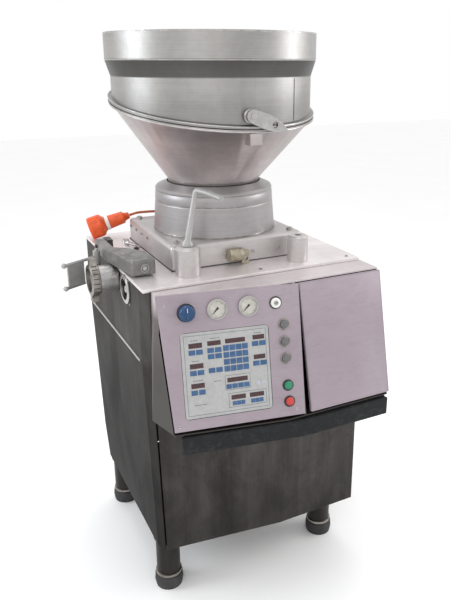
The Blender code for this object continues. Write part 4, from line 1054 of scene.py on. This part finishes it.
# ---- cabinet ----
def build_cabinet_details():
    """Screws and vent louvres on the rear cover, and rings round the tops and feet of the legs."""
    low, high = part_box("rear_panel")
    screws = bmesh.new()
    for x in (low.x + 0.035, (low.x + high.x) / 2, high.x - 0.020):
        for z in (0.36, 0.58, 0.82, high.z - 0.03):
            screw_head(screws, facing(Vector((x, high.y, z)), BACK), 0.0050, 0.0022)
    add_piece("rear_screws", screws, [STEEL_BRIGHT, BLACK])
    louvres = bmesh.new()
    for k in range(7):
        z = 0.44 + 0.022 * k
        for x in (low.x + 0.16, low.x + 0.46):
            slab(louvres, (x, high.y - 0.001, z), (x + 0.12, high.y + 0.0030, z + 0.010), bevel=0.0018)
    add_piece("rear_louvres", louvres, STEEL_CABINET)
    for corner in CORNERS:
        leg_low, leg_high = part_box(f"leg_{corner}")
        centre = (leg_low + leg_high) / 2
        place = Matrix.Translation((centre.x, centre.y, 0))
        radius = (leg_high.x - leg_low.x) / 2
        rings = bmesh.new()
        z = leg_high.z - 0.001
        lathe(rings, [(radius, z), (radius + 0.0060, z), (radius + 0.0066, z - 0.004), (radius, z - 0.009),
                      (radius - 0.001, z - 0.004), (radius, z)], place, 40)
        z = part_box(f"foot_{corner}")[1].z + 0.0006
        lathe(rings, [(radius, z + 0.010), (radius + 0.0036, z + 0.009), (radius + 0.0042, z + 0.001),
                      (radius, z), (radius - 0.001, z + 0.005), (radius, z + 0.010)], place, 40)
        add_piece(f"leg_rings_{corner}", rings, STEEL_WORN)


def build_side_crease():
    """The folded bead along the left side, on the sheet's own surface, in bright steel as a painted highlight
    along the fold, and a trim by the console's cheek.
    """
    mesh = frame["nodes"]["left_side_panel"].data
    skin = BVHTree.FromPolygons([v.co for v in mesh.vertices], [tuple(p.vertices) for p in mesh.polygons])
    low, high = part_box("left_side_panel")
    points = []
    for k in range(25):
        y = low.y + 0.006 + (high.y - low.y - 0.012) * k / 24
        points.append(skin.ray_cast(Vector((low.x - 0.5, y, CREASE_Z)), RIGHT)[0])
    flat = min(point.x for point in points) + 0.004
    points = [point for point in points if point.x < flat]
    bm = bmesh.new()
    tube(bm, points, 0.0045, 10)
    corner = min(v.co.x for v in mesh.vertices if v.co.y < low.y + 0.005)
    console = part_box("console_housing")
    slab(bm, (corner + 0.0008, console[1].y + CLEAR, console[0].z + 0.004),
         (corner + 0.0080, low.y + 0.0030, console[1].z), material=1)
    # the bead's bright steel is a painted highlight along the fold
    add_piece("side_crease", bm, [STEEL_BRIGHT, STEEL_SIDE])


# ---- stage and light ----
def build_stage():
    look = Look("floor_paint", roughness=0.65)
    tone = look.noise(1.5, detail=2.0)
    look.colour(look.between(tone, 0.3, 0.7, (0.95, 0.95, 0.95), (0.97, 0.97, 0.97)))
    bm = bmesh.new()
    bmesh.ops.create_grid(bm, x_segments=1, y_segments=1, size=14)
    mesh = bpy.data.meshes.new("floor")
    bm.to_mesh(mesh)
    bm.free()
    mesh.materials.append(look.material)
    floor = bpy.data.objects.new("floor", mesh)
    floor.location = (0, 0, -0.0005)  # just under the feet
    SCENE.collection.objects.link(floor)

    world = bpy.data.worlds.new("studio")
    world.use_nodes = True
    background = world.node_tree.nodes["Background"]
    background.inputs["Color"].default_value = (1.0, 1.0, 1.0, 1)
    background.inputs["Strength"].default_value = 1.0
    SCENE.world = world


def area_light(name, place, target, size, power, colour=(1, 1, 1)):
    data = bpy.data.lights.new(name, "AREA")
    data.shape = "RECTANGLE"
    data.size, data.size_y = size
    data.energy = power
    data.color = colour
    light = bpy.data.objects.new(name, data)
    light.location = place
    light.rotation_euler = (Vector(target) - Vector(place)).to_track_quat("-Z", "Y").to_euler()
    SCENE.collection.objects.link(light)


def build_lights():
    area_light("key", (-1.6, -3.2, 3.2), (0, 0, 1.0), (2.6, 2.6), 22, (1.0, 0.98, 0.96))
    area_light("left", (-3.0, 0.9, 2.3), (0, 0, 1.4), (1.4, 1.4), 42, (0.90, 0.95, 1.0))
    area_light("fill", (2.8, -1.0, 2.2), (0, 0, 1.1), (1.4, 1.4), 25)
    area_light("top", (0.2, 0.4, 3.6), (0, 0, 1.0), (2.0, 2.0), 30)


build_camera()
dress_frame()
build_cord()
build_plug_details()
build_keypad_details()
build_gauge("pressure")
build_gauge("vacuum")
build_knob_details()
build_button_details()
build_panel_screws()
build_console_details()
build_hopper_details()
build_clamp_details()
build_block_details()
build_deck_details()
build_latch_details()
build_outlet_details()
build_gear_details()
build_cabinet_details()
build_side_crease()
build_stage()
build_lights()
SCENE.view_settings.view_transform = "Standard"
